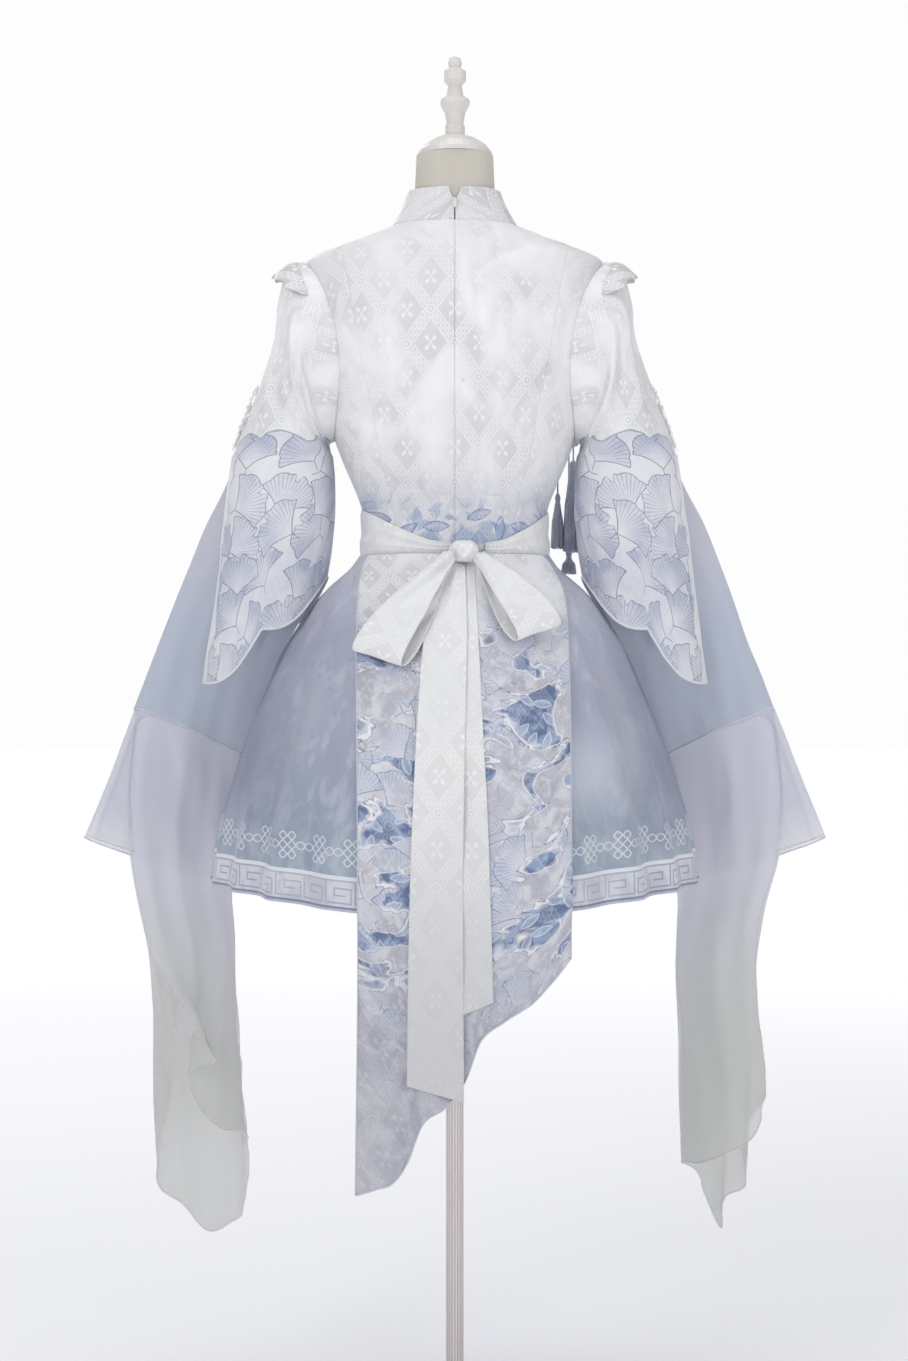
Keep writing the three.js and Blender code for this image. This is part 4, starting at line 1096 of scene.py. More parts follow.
class DRESS_OT_bodice(bpy.types.Operator):
    """Back panels, side backs, front and stand collar"""
    bl_idname = "dress.bodice"
    bl_label = "Bodice"

    def execute(self, context):
        size = context.scene.dress_sizes
        material = finish("bodice_cloth", bodice_cloth)
        levels = spaced(BODICE_BOTTOM, ARMHOLE_BOTTOM, ARMHOLE_TOP, step=size.step)
        shoulder = np.append(levels[:-1], spaced(ARMHOLE_TOP, NECK_HEIGHT, step=1.5))

        def back(u, z):
            return body_point(mix(0.0004, princess(z) - SEAM, u), z)

        def side_back(u, z):
            """It runs out in a point on top of the shoulder."""
            near = princess(z) + SEAM
            return body_point(mix(near, np.maximum(back_arm(z) - SEAM, near + 2 * SEAM), u), z)

        def front(u, z):
            return body_point(mix(front_arm(z) + SEAM, TURN - front_arm(z) - SEAM, u), z)

        def puckers(across, along):
            """Small puckers where the zip is sewn in behind the centre back."""
            near = np.exp(-((across / 0.008) ** 2))
            return 0.35 * np.cos(along * 330 + 2 * np.sin(along * 47)) * near

        for side, sign in SIDES:
            marks = together(creases(BACK_CREASES[side]), puckers, wrinkles(1.3 + sign, 0.6, 0.036))
            seat = lambda a, b, marks=marks: marks(a, b) * smooth((b.max() - b) / 0.05)
            piece = cloth(f"back_{side}_cloth", back, np.linspace(0, 1, 44), shoulder, -1, seat,
                          origin=0, wall=size.cloth, flip=sign < 0, seams=(0.16, 2.2))
            sewn(piece, material)
            drag = creases([(0.000, 0.090, 25, 0.045, 0.008, 1.5 * sign),
                            (0.010, 0.150, 42, 0.045, 0.009, 1.3),
                            (-0.010, 0.235, 70, 0.060, 0.008, -1.4),
                            (0.02, 0.30, 84, 0.06, 0.008, 1.2 * sign)])
            heights = spaced(BODICE_BOTTOM, ARMHOLE_BOTTOM, ARMHOLE_TOP, 1476.8, 1489,
                             step=size.step)
            piece = cloth(f"side_back_{side}_cloth", side_back, np.linspace(0, 1, 24), heights, -1,
                          together(drag, wrinkles(2.6 - sign, 0.5, 0.03, -0.6)),
                          origin=0, wall=size.cloth, flip=sign < 0, seams=(0.16, 2.2))
            sewn(piece, material)
        drag = creases([(0.10, 0.10, 20, 0.05, 0.008, 1.5), (-0.10, 0.13, -25, 0.05, 0.008, 1.5),
                        (0.13, 0.20, 40, 0.05, 0.009, -1.4), (-0.12, 0.22, -50, 0.05, 0.009, 1.3),
                        (0.03, 0.06, -8, 0.06, 0.007, 1.2), (0.06, 0.30, 70, 0.07, 0.010, 1.4),
                        (-0.07, 0.31, -68, 0.07, 0.010, -1.4)])
        marks = together(drag, wrinkles(0.7, 0.5, 0.038))
        seat = lambda a, b: marks(a, b) * smooth((b.max() - b) / 0.05)
        heights = spaced(BODICE_BOTTOM, ARMHOLE_BOTTOM, ARMHOLE_TOP, NECK_HEIGHT, step=size.step)
        piece = cloth("front_cloth", front, np.linspace(0, 1, 100), heights, -1, seat,
                      wall=size.cloth, seams=(0.16, 2.2))
        sewn(piece, material)
        self.collar()
        return {"FINISHED"}

    def collar(self):
        def band(turn, rise):
            """It leans in to the neck and opens in a V at the centre back."""
            opening = mix(0.3, 4.5, smooth(rise * 2 - 1)) / 60
            angle = mix(opening, TURN - opening, turn)
            foot = body_point(angle, np.full(len(angle), float(NECK_HEIGHT)))
            lean = 21 * (rise - 0.25 * rise * rise) / 0.75 * mix(0.45, 1, np.abs(np.sin(angle)))
            out = foot * (1, 1, 0)
            out /= np.linalg.norm(out, axis=1)[:, None]
            return foot - out * lean[:, None] + place(0, 0, 0.35 + 43.4 * rise)

        def soft(across, along):
            ends = np.abs(across) - 0.16
            dents = 0.7 * np.sin(across * 90) * smooth(along / 0.04) - 1.2 * smooth(ends / 0.05)
            return dents + wrinkles(0.4, 0.3, 0.022)(across, along)

        piece = cloth("collar_cloth", band, np.linspace(0, 1, 150), np.linspace(0, 1, 18), -1, soft,
                      wall=1.4)
        bevel = piece.modifiers.new("fold", "BEVEL")
        bevel.width, bevel.segments, bevel.limit_method = 0.0005, 2, "ANGLE"
        sewn(piece, finish("jacquard", jacquard))


SKIRT_CREASES = {
    "skirt_back_left": [
        (0.16, 0.33, 100, 0.10, 0.012, 2.2), (0.24, 0.30, 96, 0.12, 0.014, -2.4),
        (0.33, 0.20, 93, 0.16, 0.016, 2.2), (0.20, 0.12, 86, 0.10, 0.014, 1.8),
    ],
    "skirt_back_right": [
        (0.18, 0.32, 98, 0.12, 0.012, -2.3), (0.27, 0.26, 95, 0.14, 0.015, 2.4),
        (0.36, 0.18, 92, 0.15, 0.016, -2.0), (0.22, 0.10, 88, 0.10, 0.013, 1.8),
    ],
    "skirt_front_left": [
        (0.10, 0.25, 88, 0.14, 0.014, 2.2), (-0.1, 0.2, 92, 0.15, 0.014, -2.0),
    ],
    "skirt_front_right": [
        (0.08, 0.22, 90, 0.14, 0.014, -2.2), (-0.12, 0.24, 88, 0.15, 0.014, 2.0),
    ],
}


class DRESS_OT_skirt(bpy.types.Operator):
    """The four gores of the skirt"""
    bl_idname = "dress.skirt"
    bl_label = "Skirt"

    def execute(self, context):
        size = context.scene.dress_sizes
        material = finish("skirt_cloth", skirt_cloth)
        levels = spaced(HEM_HEIGHT, 760, SKIRT_TOP, step=size.step * 1.25)
        # degrees from the centre back, where its pattern starts, and how many stations it has
        spans = {"skirt_back": (0.03, 91.87, 0.0, 150), "skirt_front": (91.93, 179.97, 1.0, 130)}
        for part, (low, high, origin, count) in spans.items():
            def gore(u, z, low=low, high=high):
                """The hem hangs lowest behind and is drawn up a little at the sides."""
                angle = np.radians(mix(low, high, u))
                behind = mix(-13, 6, smooth(angle / 1.3))
                drop = np.where(angle < math.pi / 2, behind, 6 * np.sin(angle))
                return skirt_point(angle, z) + place(0 * z, 0 * z, drop * smooth((970 - z) / 180))

            for side, sign in SIDES:
                name = f"{part}_{side}"
                piece = cloth(f"{name}_cloth", gore, np.linspace(0, 1, count), levels, -1,
                              creases(SKIRT_CREASES[name]), origin=origin, wall=size.cloth,
                              flip=sign < 0, seams=(0.3, 2.5))
                sewn(piece, material)
        return {"FINISHED"}


# ---- hanging panel and tails: where the two edges of each lie at a height ----
PANEL_ROWS = {
    "z": [352, 600, 760, 950, 1040, 1075, 1089],
    "left": [112, 109, 110, 114, 115, 111, 104],
    "right": [-131, -131, -132, -133, -130, -116, -106],
}
PANEL_HEM = {
    "u": [0, 0.1, 0.17, 0.24, 0.31, 0.42, 0.51, 0.58, 0.68, 0.82, 0.92, 1],
    "rise": [0, 9, 16, 40, 84, 104, 134, 178, 198, 220, 244, 268],
}
SHORT_TAIL_ROWS = {
    "z": [555, 740, 900, 1074],
    "left": [2, 0, -2, -8],
    "right": [-43, -38, -31, -23],
}
LONG_TAIL_ROWS = {
    "z": [462, 720, 900, 1000, 1040, 1074],
    "left": [53, 49, 41, 32, 15, 5],
    "right": [-10, -9, -12, -14, -13, -12],
}
# long waves down the panel, as swell() takes them
PANEL_WAVES = [
    (-0.06, 0.018, 4.0, -0.90, -0.30), (0.05, 0.022, -3.5, -0.90, -0.30),
    (0.10, 0.014, 3.2, -0.80, -0.25), (-0.105, 0.010, -2.0, -0.90, -0.30),
]
PANEL_BOTTOM = 352.0
PANEL_TOP = 1089
PANEL_LIFT = 3.0  # how far each layer stands off the skirt, in millimetres
SHORT_TAIL_LIFT = 5.2
LONG_TAIL_LIFT = 7.4


def hanging(rows, lowest, rise_at):
    """A strip's surface over the skirt's back, raised at its bottom edge by rise_at(u)."""
    def surface(u, z):
        below = np.maximum(0, HEM_HEIGHT - z) / (HEM_HEIGHT - lowest)
        height = z + below * rise_at(u)
        x = mix(look_up(rows, "z", z, "left"), look_up(rows, "z", z, "right"), u)
        return place(x, skirt_back(x, height), height)
    return surface


def swell(across_rows):
    """Long soft waves down a hanging piece: place across, reach, height in mm, top and bottom."""
    def rise(across, along):
        total = 0
        for at, reach, high, low, top in across_rows:
            fade = smooth((along - low) / 0.08) * smooth((top - along) / 0.12)
            off = across - at - 0.02 * np.sin(along * 9)
            total = total + high * np.exp(-((off / reach) ** 2)) * fade
        return total
    return rise


class DRESS_OT_panel(bpy.types.Operator):
    """The long printed panel that hangs from the waist at the back"""
    bl_idname = "dress.panel"
    bl_label = "Back panel"

    def execute(self, context):
        size = context.scene.dress_sizes
        hem = lambda u: look_up(PANEL_HEM, "u", np.clip(u, 0, 1), "rise")
        surface = hanging(PANEL_ROWS, PANEL_BOTTOM, hem)
        waves = together(swell(PANEL_WAVES), wrinkles(1.9, 0.5, 0.05, 0.2))
        heights = spaced(PANEL_BOTTOM, HEM_HEIGHT, PANEL_TOP, step=size.step)
        piece = cloth("back_panel_cloth", surface, np.linspace(0, 1, 84), heights, 1, waves,
                      wall=size.cloth, lift=PANEL_LIFT, hung=True)
        sewn(piece, finish("panel_cloth", panel_cloth))
        edge = finish("panel_piping", plain((0.62, 0.63, 0.69), 0.5, 0.1))
        below = lambda t: surface(t, np.full(len(t), PANEL_BOTTOM)) + place(0, PANEL_LIFT, 0)
        hem_roll = roll("back_panel_hem", below, 1.0, 110, 8)
        dress(hem_roll, edge)
        for name, u in (("back_panel_edge_left", 0.0), ("back_panel_edge_right", 1.0)):
            def side(t, u=u):
                at, height = np.full(len(t), u), mix(PANEL_BOTTOM, 1085, t)
                return surface(at, height) + normals(surface, at, height, 1) * PANEL_LIFT

            dress(roll(name, side, 0.8, 130, 6), edge)
        return {"FINISHED"}


class DRESS_OT_bow(bpy.types.Operator):
    """Sash, knot, loops and tails"""
    bl_idname = "dress.bow"
    bl_label = "Sash and bow"

    # the knot's middle and its reach along x, y and z, in millimetres
    KNOT_MIDDLE = (-11, 114.4, 1092.5)
    KNOT_REACH = (18, 14, 13.5)

    def execute(self, context):
        size = context.scene.dress_sizes
        material = finish("sash_jacquard", sash_jacquard)
        self.sash(size, material)
        self.tails(size, material)
        self.knot(material)
        self.loops(size, material)
        return {"FINISHED"}

    def sash(self, size, material):
        rows = {"around": [0, 12, 30, 60, 90, 180], "high": [1104, 1108, 1121, 1141, 1149, 1153]}

        def band(turn, across):
            clear, middle = 13 / 90, -11 / 90
            angle = mix(clear + middle, TURN - clear + middle, turn)
            around = np.minimum(turn, 1 - turn) * 360
            high = look_up(rows, "around", around, "high")
            return body_point(angle, mix(1091.5, high, across))

        def drawn(across, along):
            """Folds that run into the knot and die away towards the sides."""
            reach = 0.36 - np.abs(across)
            near = np.exp(-np.maximum(reach, 0) / 0.11)
            share = along / np.maximum(along.max(axis=0, keepdims=True), 1e-6)
            folds = 1.4 * np.cos(TURN * (share * 3.0 + 0.1))
            folds = folds + 0.5 * np.cos(TURN * (share * 5.2 + 0.4))
            far = 0.5 * np.cos(TURN * (share * 2.0 + np.abs(across) * 2.4))
            rim = np.exp(-((np.minimum(share, 1 - share) / 0.10) ** 2))
            return folds * near + far * (1 - near) + 0.2 - 1.9 * rim * (1 - near)

        piece = cloth("sash_cloth", band, np.linspace(0, 1, 260), np.linspace(0, 1, 26),
                      -1, drawn, wall=size.cloth, lift=3.0)
        sewn(piece, material)

    def tails(self, size, material):
        short = hanging(SHORT_TAIL_ROWS, 557, lambda u: 17 * u)
        long = hanging(LONG_TAIL_ROWS, 463, lambda u: 17 * (1 - u))

        def gathered(across, along):
            """Fine gathers under the knot and slow waves below them."""
            fine = 0.9 * np.cos(across * 420) * smooth((along + 0.18) / 0.18)
            slow = 0.7 * np.sin(along * 40 + across * 60) * smooth((-0.10 - along) / 0.1)
            sway = 0.8 * np.sin(across * 75 + 3 * np.sin(along * 9)) * smooth((-0.06 - along) / 0.1)
            return fine + slow + sway

        piece = cloth("tail_short_cloth", short, np.linspace(0, 1, 24),
                      spaced(557, HEM_HEIGHT, 1071, step=size.step), 1, gathered, wall=size.cloth,
                      lift=SHORT_TAIL_LIFT, hung=True)
        sewn(piece, material)
        piece = cloth("tail_long_cloth", long, np.linspace(0, 1, 30),
                      spaced(463, HEM_HEIGHT, 1071, step=size.step), 1,
                      lambda a, b: gathered(a, b) + 1.0, wall=size.cloth, lift=LONG_TAIL_LIFT,
                      hung=True)
        sewn(piece, material)

    def knot(self, material):
        build, column, row = grid_of(range(65), range(41))
        turn, level = column / 64 * TURN, row / 20 - 1
        full = np.sqrt(np.maximum(1 - 0.8 * level**2, 0.02))
        full = np.where(np.abs(level) > 0.999, 0.02, full)
        fold = 1.5 * np.cos(turn * 5 + level * 2.6) + 0.9 * np.cos(turn * 9 - level * 3.0 + 1)
        fold *= 1 - level**4
        middle, reach = self.KNOT_MIDDLE, self.KNOT_REACH
        x = middle[0] + (reach[0] + fold * 0.4) * signed_power(np.cos(turn), 0.9) * full
        y = middle[1] - level * 6 + (reach[1] + fold) * signed_power(np.sin(turn), 0.8) * full
        points = place(x, y, middle[2] + level * reach[2]) * MM
        close_rings(build, points, turn * 0.016, level * 0.014)
        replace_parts(dress(finished("bow_knot_cloth", build), material), "bow_knot")

    def loops(self, size, material):
        # side, root and tip, the width at each, then the bulge, the arch and the tilt
        table = (
            ("left", (0.8, 118, 1095), (90, 206, 964), 16, 58, 10, 20, 0.6),
            ("right", (-24.8, 118, 1092), (-98, 190, 994), 16, 52, 9, 19, -0.6),
        )
        for side, root, tip, root_width, tip_width, bulge, arch, tilt in table:
            root, tip = np.array(root, float), np.array(tip, float)
            length = np.linalg.norm(tip - root)
            forward = (tip - root) / length
            outward = np.array([0, 1.0, 0]) - forward * forward[1]
            outward /= np.linalg.norm(outward)
            across = np.cross(outward, forward)
            across /= np.linalg.norm(across)

            def strip(u, v):
                angle = mix(-0.94, 0.94, u) * math.pi
                reach = np.maximum(0.5 * (1 + np.cos(angle)), 1e-9) ** 0.55
                gap = np.sin(angle) * bulge * (0.35 + 0.65 * reach) + arch * np.sin(math.pi * reach)
                apart = -9 * np.sign(tip[0]) * np.sin(angle) * reach
                width = mix(root_width, tip_width, smooth(reach)) * (v - 0.5) + apart
                return (root + forward * (length * reach)[:, None]
                        + outward * (gap + width * tilt * reach)[:, None] + across * width[:, None])

            def drawn(along, over):
                """Folds fan out from the knot on both layers of the loop."""
                from_root = np.maximum(0.16 - np.abs(along), 0) / 0.16
                share = over / np.maximum(over.max(), 1e-6)
                near = smooth(np.abs(along) / 0.16)
                folds = 2.4 * np.cos(TURN * (share * 2.4 + 0.2))
                folds = folds + 1.3 * np.cos(TURN * (share * 4.3))
                return folds * near - 0.9 * np.cos(TURN * share * 1.3) * from_root * 0.4

            piece = cloth(f"bow_loop_{side}_cloth", strip, np.linspace(0, 1, 130),
                          np.linspace(0, 1, 30), 1, drawn, wall=size.cloth)
            sewn(piece, material)


# ---- sleeves, cuffs and organza: each row holds an outer point, an inner point and the depth ----
SLEEVE_ROWS = [
    (206, -2, 1452, 157, 0, 1232, 61), (219, -4, 1412, 158, 0, 1228, 64),
    (226, -5, 1362, 157, 0, 1225, 63), (246, -6, 1303, 155, 0, 1221, 60),
    (263, -6, 1258, 153, 0, 1218, 58), (277, -6, 1217.9, 152, 0, 1213.9, 56),
]
CUFF_ROWS = [
    (277, -6, 1218.4, 152, 0, 1214.4, 56), (286, -4, 1155, 150, 0, 1180, 60),
    (294, -2, 1090, 150, 0, 1143, 65), (303, 0, 1010, 153, 0, 1105, 68),
    (314, 2, 934, 159, 0, 1066, 70),
]
UPPER_ROWS = [
    (273, -10, 1214, 156, -4, 1210, 49), (289, -24, 1180, 160, -10, 1165, 30),
    (314, -24, 1132, 168, -18, 1110, 24), (334, -26, 1080, 184, -32, 1040, 21),
    (354, -26, 1028, 216, -50, 975, 21), (379, -24, 962, 243, -88, 895, 30),
    (401, -22, 902, 263, -125, 828, 36),
]
FLARE_ROWS = [
    (401, -22, 901.5, 263, -125, 827.5, 36), (431, -20, 820, 278, -142, 748, 44),
    (461, -20, 740, 290, -157, 668, 50),
]
DRAPE_ROWS = [
    (399.2, -22.8, 900, 264.8, -124.2, 827, 34.4), (412, -38, 800, 286, -138, 740, 32),
    (408, -60, 710, 297, -150, 662, 33), (385, -62, 590, 292, -142, 580, 34),
    (362, -62, 400, 288, -134, 300, 30),
]
# The drape's lowest edge, which folds back on itself: turn round the drape, and its place.
DRAPE_HEMS = {
    "left": {
        "turn": [0, 0.06, 0.13, 0.2, 0.27, 0.34, 0.42, 0.5, 0.56, 0.64, 0.72, 0.8, 0.87, 0.94, 1],
        "x": [352, 330, 303, 326, 343, 322, 296, 269, 272, 292, 321, 352, 386, 367, 352],
        "y": [-62, -50, -44, -60, -72, -70, -78, -100, -122, -124, -120, -112, -98, -82, -62],
        "z": [530, 494, 457, 446, 430, 384, 362, 346, 256, 232, 222, 258, 296, 400, 530],
    },
    "right": {
        "turn": [0, 0.06, 0.13, 0.2, 0.28, 0.38, 0.5, 0.56, 0.64, 0.72, 0.8, 0.87, 0.94, 1],
        "x": [398, 387, 370, 352, 334, 312, 291, 312, 326, 346, 352, 376, 370, 398],
        "y": [-62, -50, -44, -42, -46, -60, -94, -116, -122, -120, -114, -104, -90, -62],
        "z": [410, 372, 351, 342, 332, 322, 317, 302, 268, 226, 268, 286, 352, 410],
    },
}
# each fold's middle and reach as shares of a turn, and its depth in millimetres
SHEER_FOLDS = [(0.13, 0.07, 6), (0.27, 0.08, 8), (0.41, 0.05, 5), (0.63, 0.07, 7), (0.82, 0.08, 6)]


def armhole(turn):
    angle = turn * TURN
    half = (ARMHOLE_TOP - ARMHOLE_BOTTOM) / 2 - 0.6 * np.cos(angle) ** 8
    z = (ARMHOLE_TOP + ARMHOLE_BOTTOM) / 2 + half * np.cos(angle)
    over = 1.8 / look_up(BODY_ROWS, "z", z, "side")
    edge = np.where(np.sin(angle) >= 0, back_arm(z) - over, front_arm(z) + over)
    return body_point(edge, z) * (1.0008, 1.0008, 1)


def sleeve_point(turn, spot):
    around = turn - np.floor(turn)
    rings = np.stack([armhole(around)] + [tube_ring(row, around) for row in SLEEVE_ROWS])
    return through(rings, spot)


def cuff_point(u, spot):
    turn = mix(0.02, 0.78, u)
    point = through(np.stack([tube_ring(row, turn) for row in CUFF_ROWS]), spot)
    lobe = np.abs(np.sin(math.pi * np.cos(turn * TURN)))
    point[:, 2] -= 22 * lobe * smooth(spot / 4)
    return point


def organza(rows, strength, hem=None, tucked=0.0):
    """A folded tube through rows: the folds grow by strength(t) from its top to its hem,
    which is an oval, or the closed line that hem gives as turns and places. Its back layer
    is tucked in by that share."""
    last = len(rows) - 1

    def surface(turn, spot):
        around = turn - np.floor(turn)
        pull = bumps(SHEER_FOLDS, around) * strength(spot / last)
        share = 1 - tucked * smooth(spot * 4) * smooth(np.sin(around * TURN) * 2)
        rings = [tube_ring((*row[:6], (row[6] - pull) * share), around) for row in rows]
        if hem:
            rings[-1] = np.stack([look_up(hem, "turn", around, key) for key in "xyz"], axis=-1)
        return through(np.stack(rings), spot)
    return surface


def ripples(seed, high, fine=0.0):
    """Uneven soft folds that run down a sleeve's length and drift sideways."""
    def rise(across, along):
        drift = across * 40 + 1.5 * np.sin(along * 11 + seed) + seed * 3
        long = np.sin(drift) * 0.6 + np.sin(drift * 1.7 + 2 * np.sin(along * 6 + seed)) * 0.4
        return high * long + fine * np.sin(across * 210 + seed + 2 * np.sin(along * 20))
    return rise


SLEEVE_CREASES = {
    "left": [
        (0.100, 0.150, 96, 0.090, 0.010, 4.4), (0.070, 0.120, 84, 0.080, 0.010, -4.0),
        (0.140, 0.110, 118, 0.070, 0.010, 4.0), (0.160, 0.060, 140, 0.050, 0.009, -3.6),
        (0.045, 0.140, 92, 0.090, 0.009, 3.6), (0.110, 0.050, 128, 0.055, 0.009, 3.4),
        (0.015, 0.100, 88, 0.080, 0.010, -3.2), (-0.060, 0.130, 84, 0.090, 0.011, 4.0),
        (-0.110, 0.110, 70, 0.080, 0.010, -3.8), (-0.150, 0.070, 45, 0.060, 0.010, 3.4),
    ],
    "right": [
        (0.090, 0.145, 94, 0.090, 0.010, -4.2), (0.120, 0.130, 104, 0.080, 0.010, 4.2),
        (0.060, 0.130, 86, 0.080, 0.010, 3.6), (0.150, 0.080, 130, 0.060, 0.010, -3.6),
        (0.030, 0.120, 90, 0.090, 0.009, -3.2), (0.165, 0.045, 150, 0.050, 0.009, 3.2),
        (0.080, 0.050, 120, 0.050, 0.009, 3.2), (-0.050, 0.120, 88, 0.090, 0.011, -4.0),
        (-0.100, 0.120, 72, 0.080, 0.010, 4.0), (-0.140, 0.060, 50, 0.060, 0.010, -3.4),
    ],
}


class DRESS_OT_sleeves(bpy.types.Operator):
    """Gathered upper sleeves and their shoulder frills"""
    bl_idname = "dress.sleeves"
    bl_label = "Sleeves"

    def execute(self, context):
        size = context.scene.dress_sizes
        material = finish("sleeve_cloth", sleeve_cloth)
        frill_cloth = finish("jacquard", jacquard)
        places = 6 - spaced(0, 0.3, 1, 6, step=0.085)[::-1]
        for side, sign in SIDES:
            marks = together(creases(SLEEVE_CREASES[side]), wrinkles(3.1 + sign, 0.8, 0.034, 0.3))

            def gathered(across, along, marks=marks, sign=sign):
                """Short gathers fan out from the sleeve head; the rest is creased as listed."""
                turn = across / across.max(axis=1, keepdims=True) / 2
                head = np.exp(-((turn / 0.15) ** 2))
                puffs = np.abs(np.sin(turn * 88 + 0.6 * sign + 1.5 * np.sin(turn * 21))) - 0.5
                below = along.max(axis=0, keepdims=True) - along
                fall = np.exp(-np.maximum(below - 0.006, 0) / 0.035) * smooth(below / 0.005)
                seat = smooth(below / 0.02) * smooth(along / 0.02)
                return 2.6 * puffs * head * fall + marks(across, along) * seat

            surface = lambda u, v: sleeve_point(u, 6 - v)
            piece = cloth(f"sleeve_{side}_cloth", surface, np.linspace(-0.5, 0.5, 160), places, 1,
                          gathered, closed=True, wall=size.cloth, flip=sign < 0)
            sewn(piece, material)
            self.frill(side, sign, frill_cloth)
        return {"FINISHED"}

    def frill(self, side, sign, material):
        reach = math.acos(0.58) / TURN

        def pleats(turn):
            return np.sin(turn / reach * 17 + 0.8 * np.sin(turn / reach * 6 + sign))

        def surface(turn, spot):
            """Widest over the shoulder, narrowing to a point at each end, lifting off outwards."""
            share = np.clip(1 - (turn / reach) ** 2, 0.004, 1) ** 0.4
            wide = (0.92 + 0.07 * pleats(turn)) * share
            at = 0.5 + spot * wide
            lift = 1.6 + (13 * np.maximum(spot, 0) ** 1.6 + 1.8 * pleats(turn) * spot) * share
            return sleeve_point(turn, at) + normals(sleeve_point, turn, at, -1) * lift[:, None]

        turns = np.linspace(-reach, reach, 110) * 0.998
        piece = cloth(f"shoulder_wing_{side}_cloth", surface, turns, np.linspace(0, 1, 14), -1,
                      wall=0.8, flip=sign < 0)
        sewn(piece, material)


class DRESS_OT_trim(bpy.types.Operator):
    """Beaded flowers on the outside of the upper sleeves"""
    bl_idname = "dress.trim"
    bl_label = "Flower trim"

    # turn around the sleeve, place down it, size in mm and turn of each flower
    FLOWERS = [
        (-0.020, 4.05, 7.0, 10), (0.022, 4.25, 8.5, 40), (-0.012, 4.55, 9.5, 0),
        (0.030, 4.75, 7.0, 70), (-0.030, 4.92, 7.5, 25), (0.010, 5.08, 9.0, 55),
        (-0.016, 5.36, 8.5, 15), (0.026, 5.42, 7.0, 35), (0.004, 5.66, 7.5, 60),
    ]

    def execute(self, context):
        material = finish("beaded_trim", beadwork)
        for side, sign in SIDES:
            build = bmesh.new()
            for turn, spot, size, turned in self.FLOWERS:
                turn, spot = np.array([turn]), np.array([spot])
                centre = sleeve_point(turn, spot)[0]
                out = normals(sleeve_point, turn, spot, -1)[0]
                self.flower(build, centre + out * 1.6, out, size, turned)
            for face in build.faces:
                face.smooth = True
            to_metres = Matrix.Diagonal((MM * sign, MM, MM, 1))
            bmesh.ops.transform(build, matrix=to_metres, verts=build.verts)
            bmesh.ops.recalc_face_normals(build, faces=build.faces)
            beads = dress(finished(f"flower_trim_{side}_beads", build), material)
            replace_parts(beads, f"flower_trim_{side}")
        return {"FINISHED"}

    def flower(self, build, centre, out, size, turned):
        size *= 1.25
        lean = Vector(out).to_track_quat("Z", "Y").to_matrix().to_4x4()
        for k in range(5):
            angle = math.radians(turned + 72 * k)
            made = bmesh.ops.create_uvsphere(build, u_segments=12, v_segments=7, radius=1.0)
            spin = Matrix.Rotation(angle, 4, "Z")
            tilt = Matrix.Rotation(math.radians(-24), 4, "Y")
            shape = (Matrix.Translation(Vector(centre)) @ lean @ spin
                     @ Matrix.Translation((size * 0.52, 0, 1.0)) @ tilt
                     @ Matrix.Diagonal((size * 0.46, size * 0.36, 0.9, 1)))
            bmesh.ops.transform(build, matrix=shape, verts=made["verts"])
        made = bmesh.ops.create_uvsphere(build, u_segments=10, v_segments=7, radius=1.5)
        bmesh.ops.transform(build, matrix=Matrix.Translation(Vector(centre + out * 2.0)),
                            verts=made["verts"])
        for k in range(6):
            angle = math.radians(turned * 2 + 60 * k)
            bead = lean @ Vector((math.cos(angle) * 2.6, math.sin(angle) * 2.6, 1.9))
            made = bmesh.ops.create_icosphere(build, subdivisions=1, radius=0.75)
            bmesh.ops.transform(build, matrix=Matrix.Translation(Vector(centre) + bead),
                                verts=made["verts"])


class DRESS_OT_cuffs(bpy.types.Operator):
    """Flared wrap cuffs with a white rolled edge"""
    bl_idname = "dress.cuffs"
    bl_label = "Cuffs"

    def execute(self, context):
        size = context.scene.dress_sizes
        material = finish("cuff_cloth", cuff_cloth)
        piping = finish("cuff_piping", plain((0.80, 0.81, 0.84), 0.45, 0.1))
        folds = {
            "left": [(0.05, 0.20, 80, 0.09, 0.012, 2.0), (0.0, 0.12, 100, 0.08, 0.012, -2.0),
                     (-0.07, 0.18, 85, 0.10, 0.012, 1.8), (0.10, 0.08, 95, 0.06, 0.010, 1.5)],
            "right": [(0.04, 0.18, 84, 0.10, 0.012, -2.0), (-0.02, 0.14, 98, 0.08, 0.012, 2.0),
                      (-0.08, 0.16, 88, 0.10, 0.012, -1.6), (0.09, 0.09, 92, 0.06, 0.010, -1.5)],
        }
        for side, sign in SIDES:
            surface = lambda u, v: cuff_point(u, 4 - v)
            marks = together(creases(folds[side]), wrinkles(4.2 + sign, 0.7, 0.045, 0.3))
            seat = lambda a, b, marks=marks: marks(a, b - b.min()) * smooth(-b / 0.02)
            piece = cloth(f"cuff_{side}_cloth", surface, np.linspace(0, 1, 130),
                          spaced(0, 4, step=0.056), 1, seat, origin=0, wall=size.cloth,
                          flip=sign < 0, hung=True)
            points = GRIDS[f"cuff_{side}_cloth"]
            rim = along_points(np.concatenate([points[::-1, 0], points[0, 1:], points[1:, -1]]))
            edge = dress(roll(f"cuff_{side}_piping", rim, 1.5, 420, 8), piping)
            sewn(piece, material)
        return {"FINISHED"}


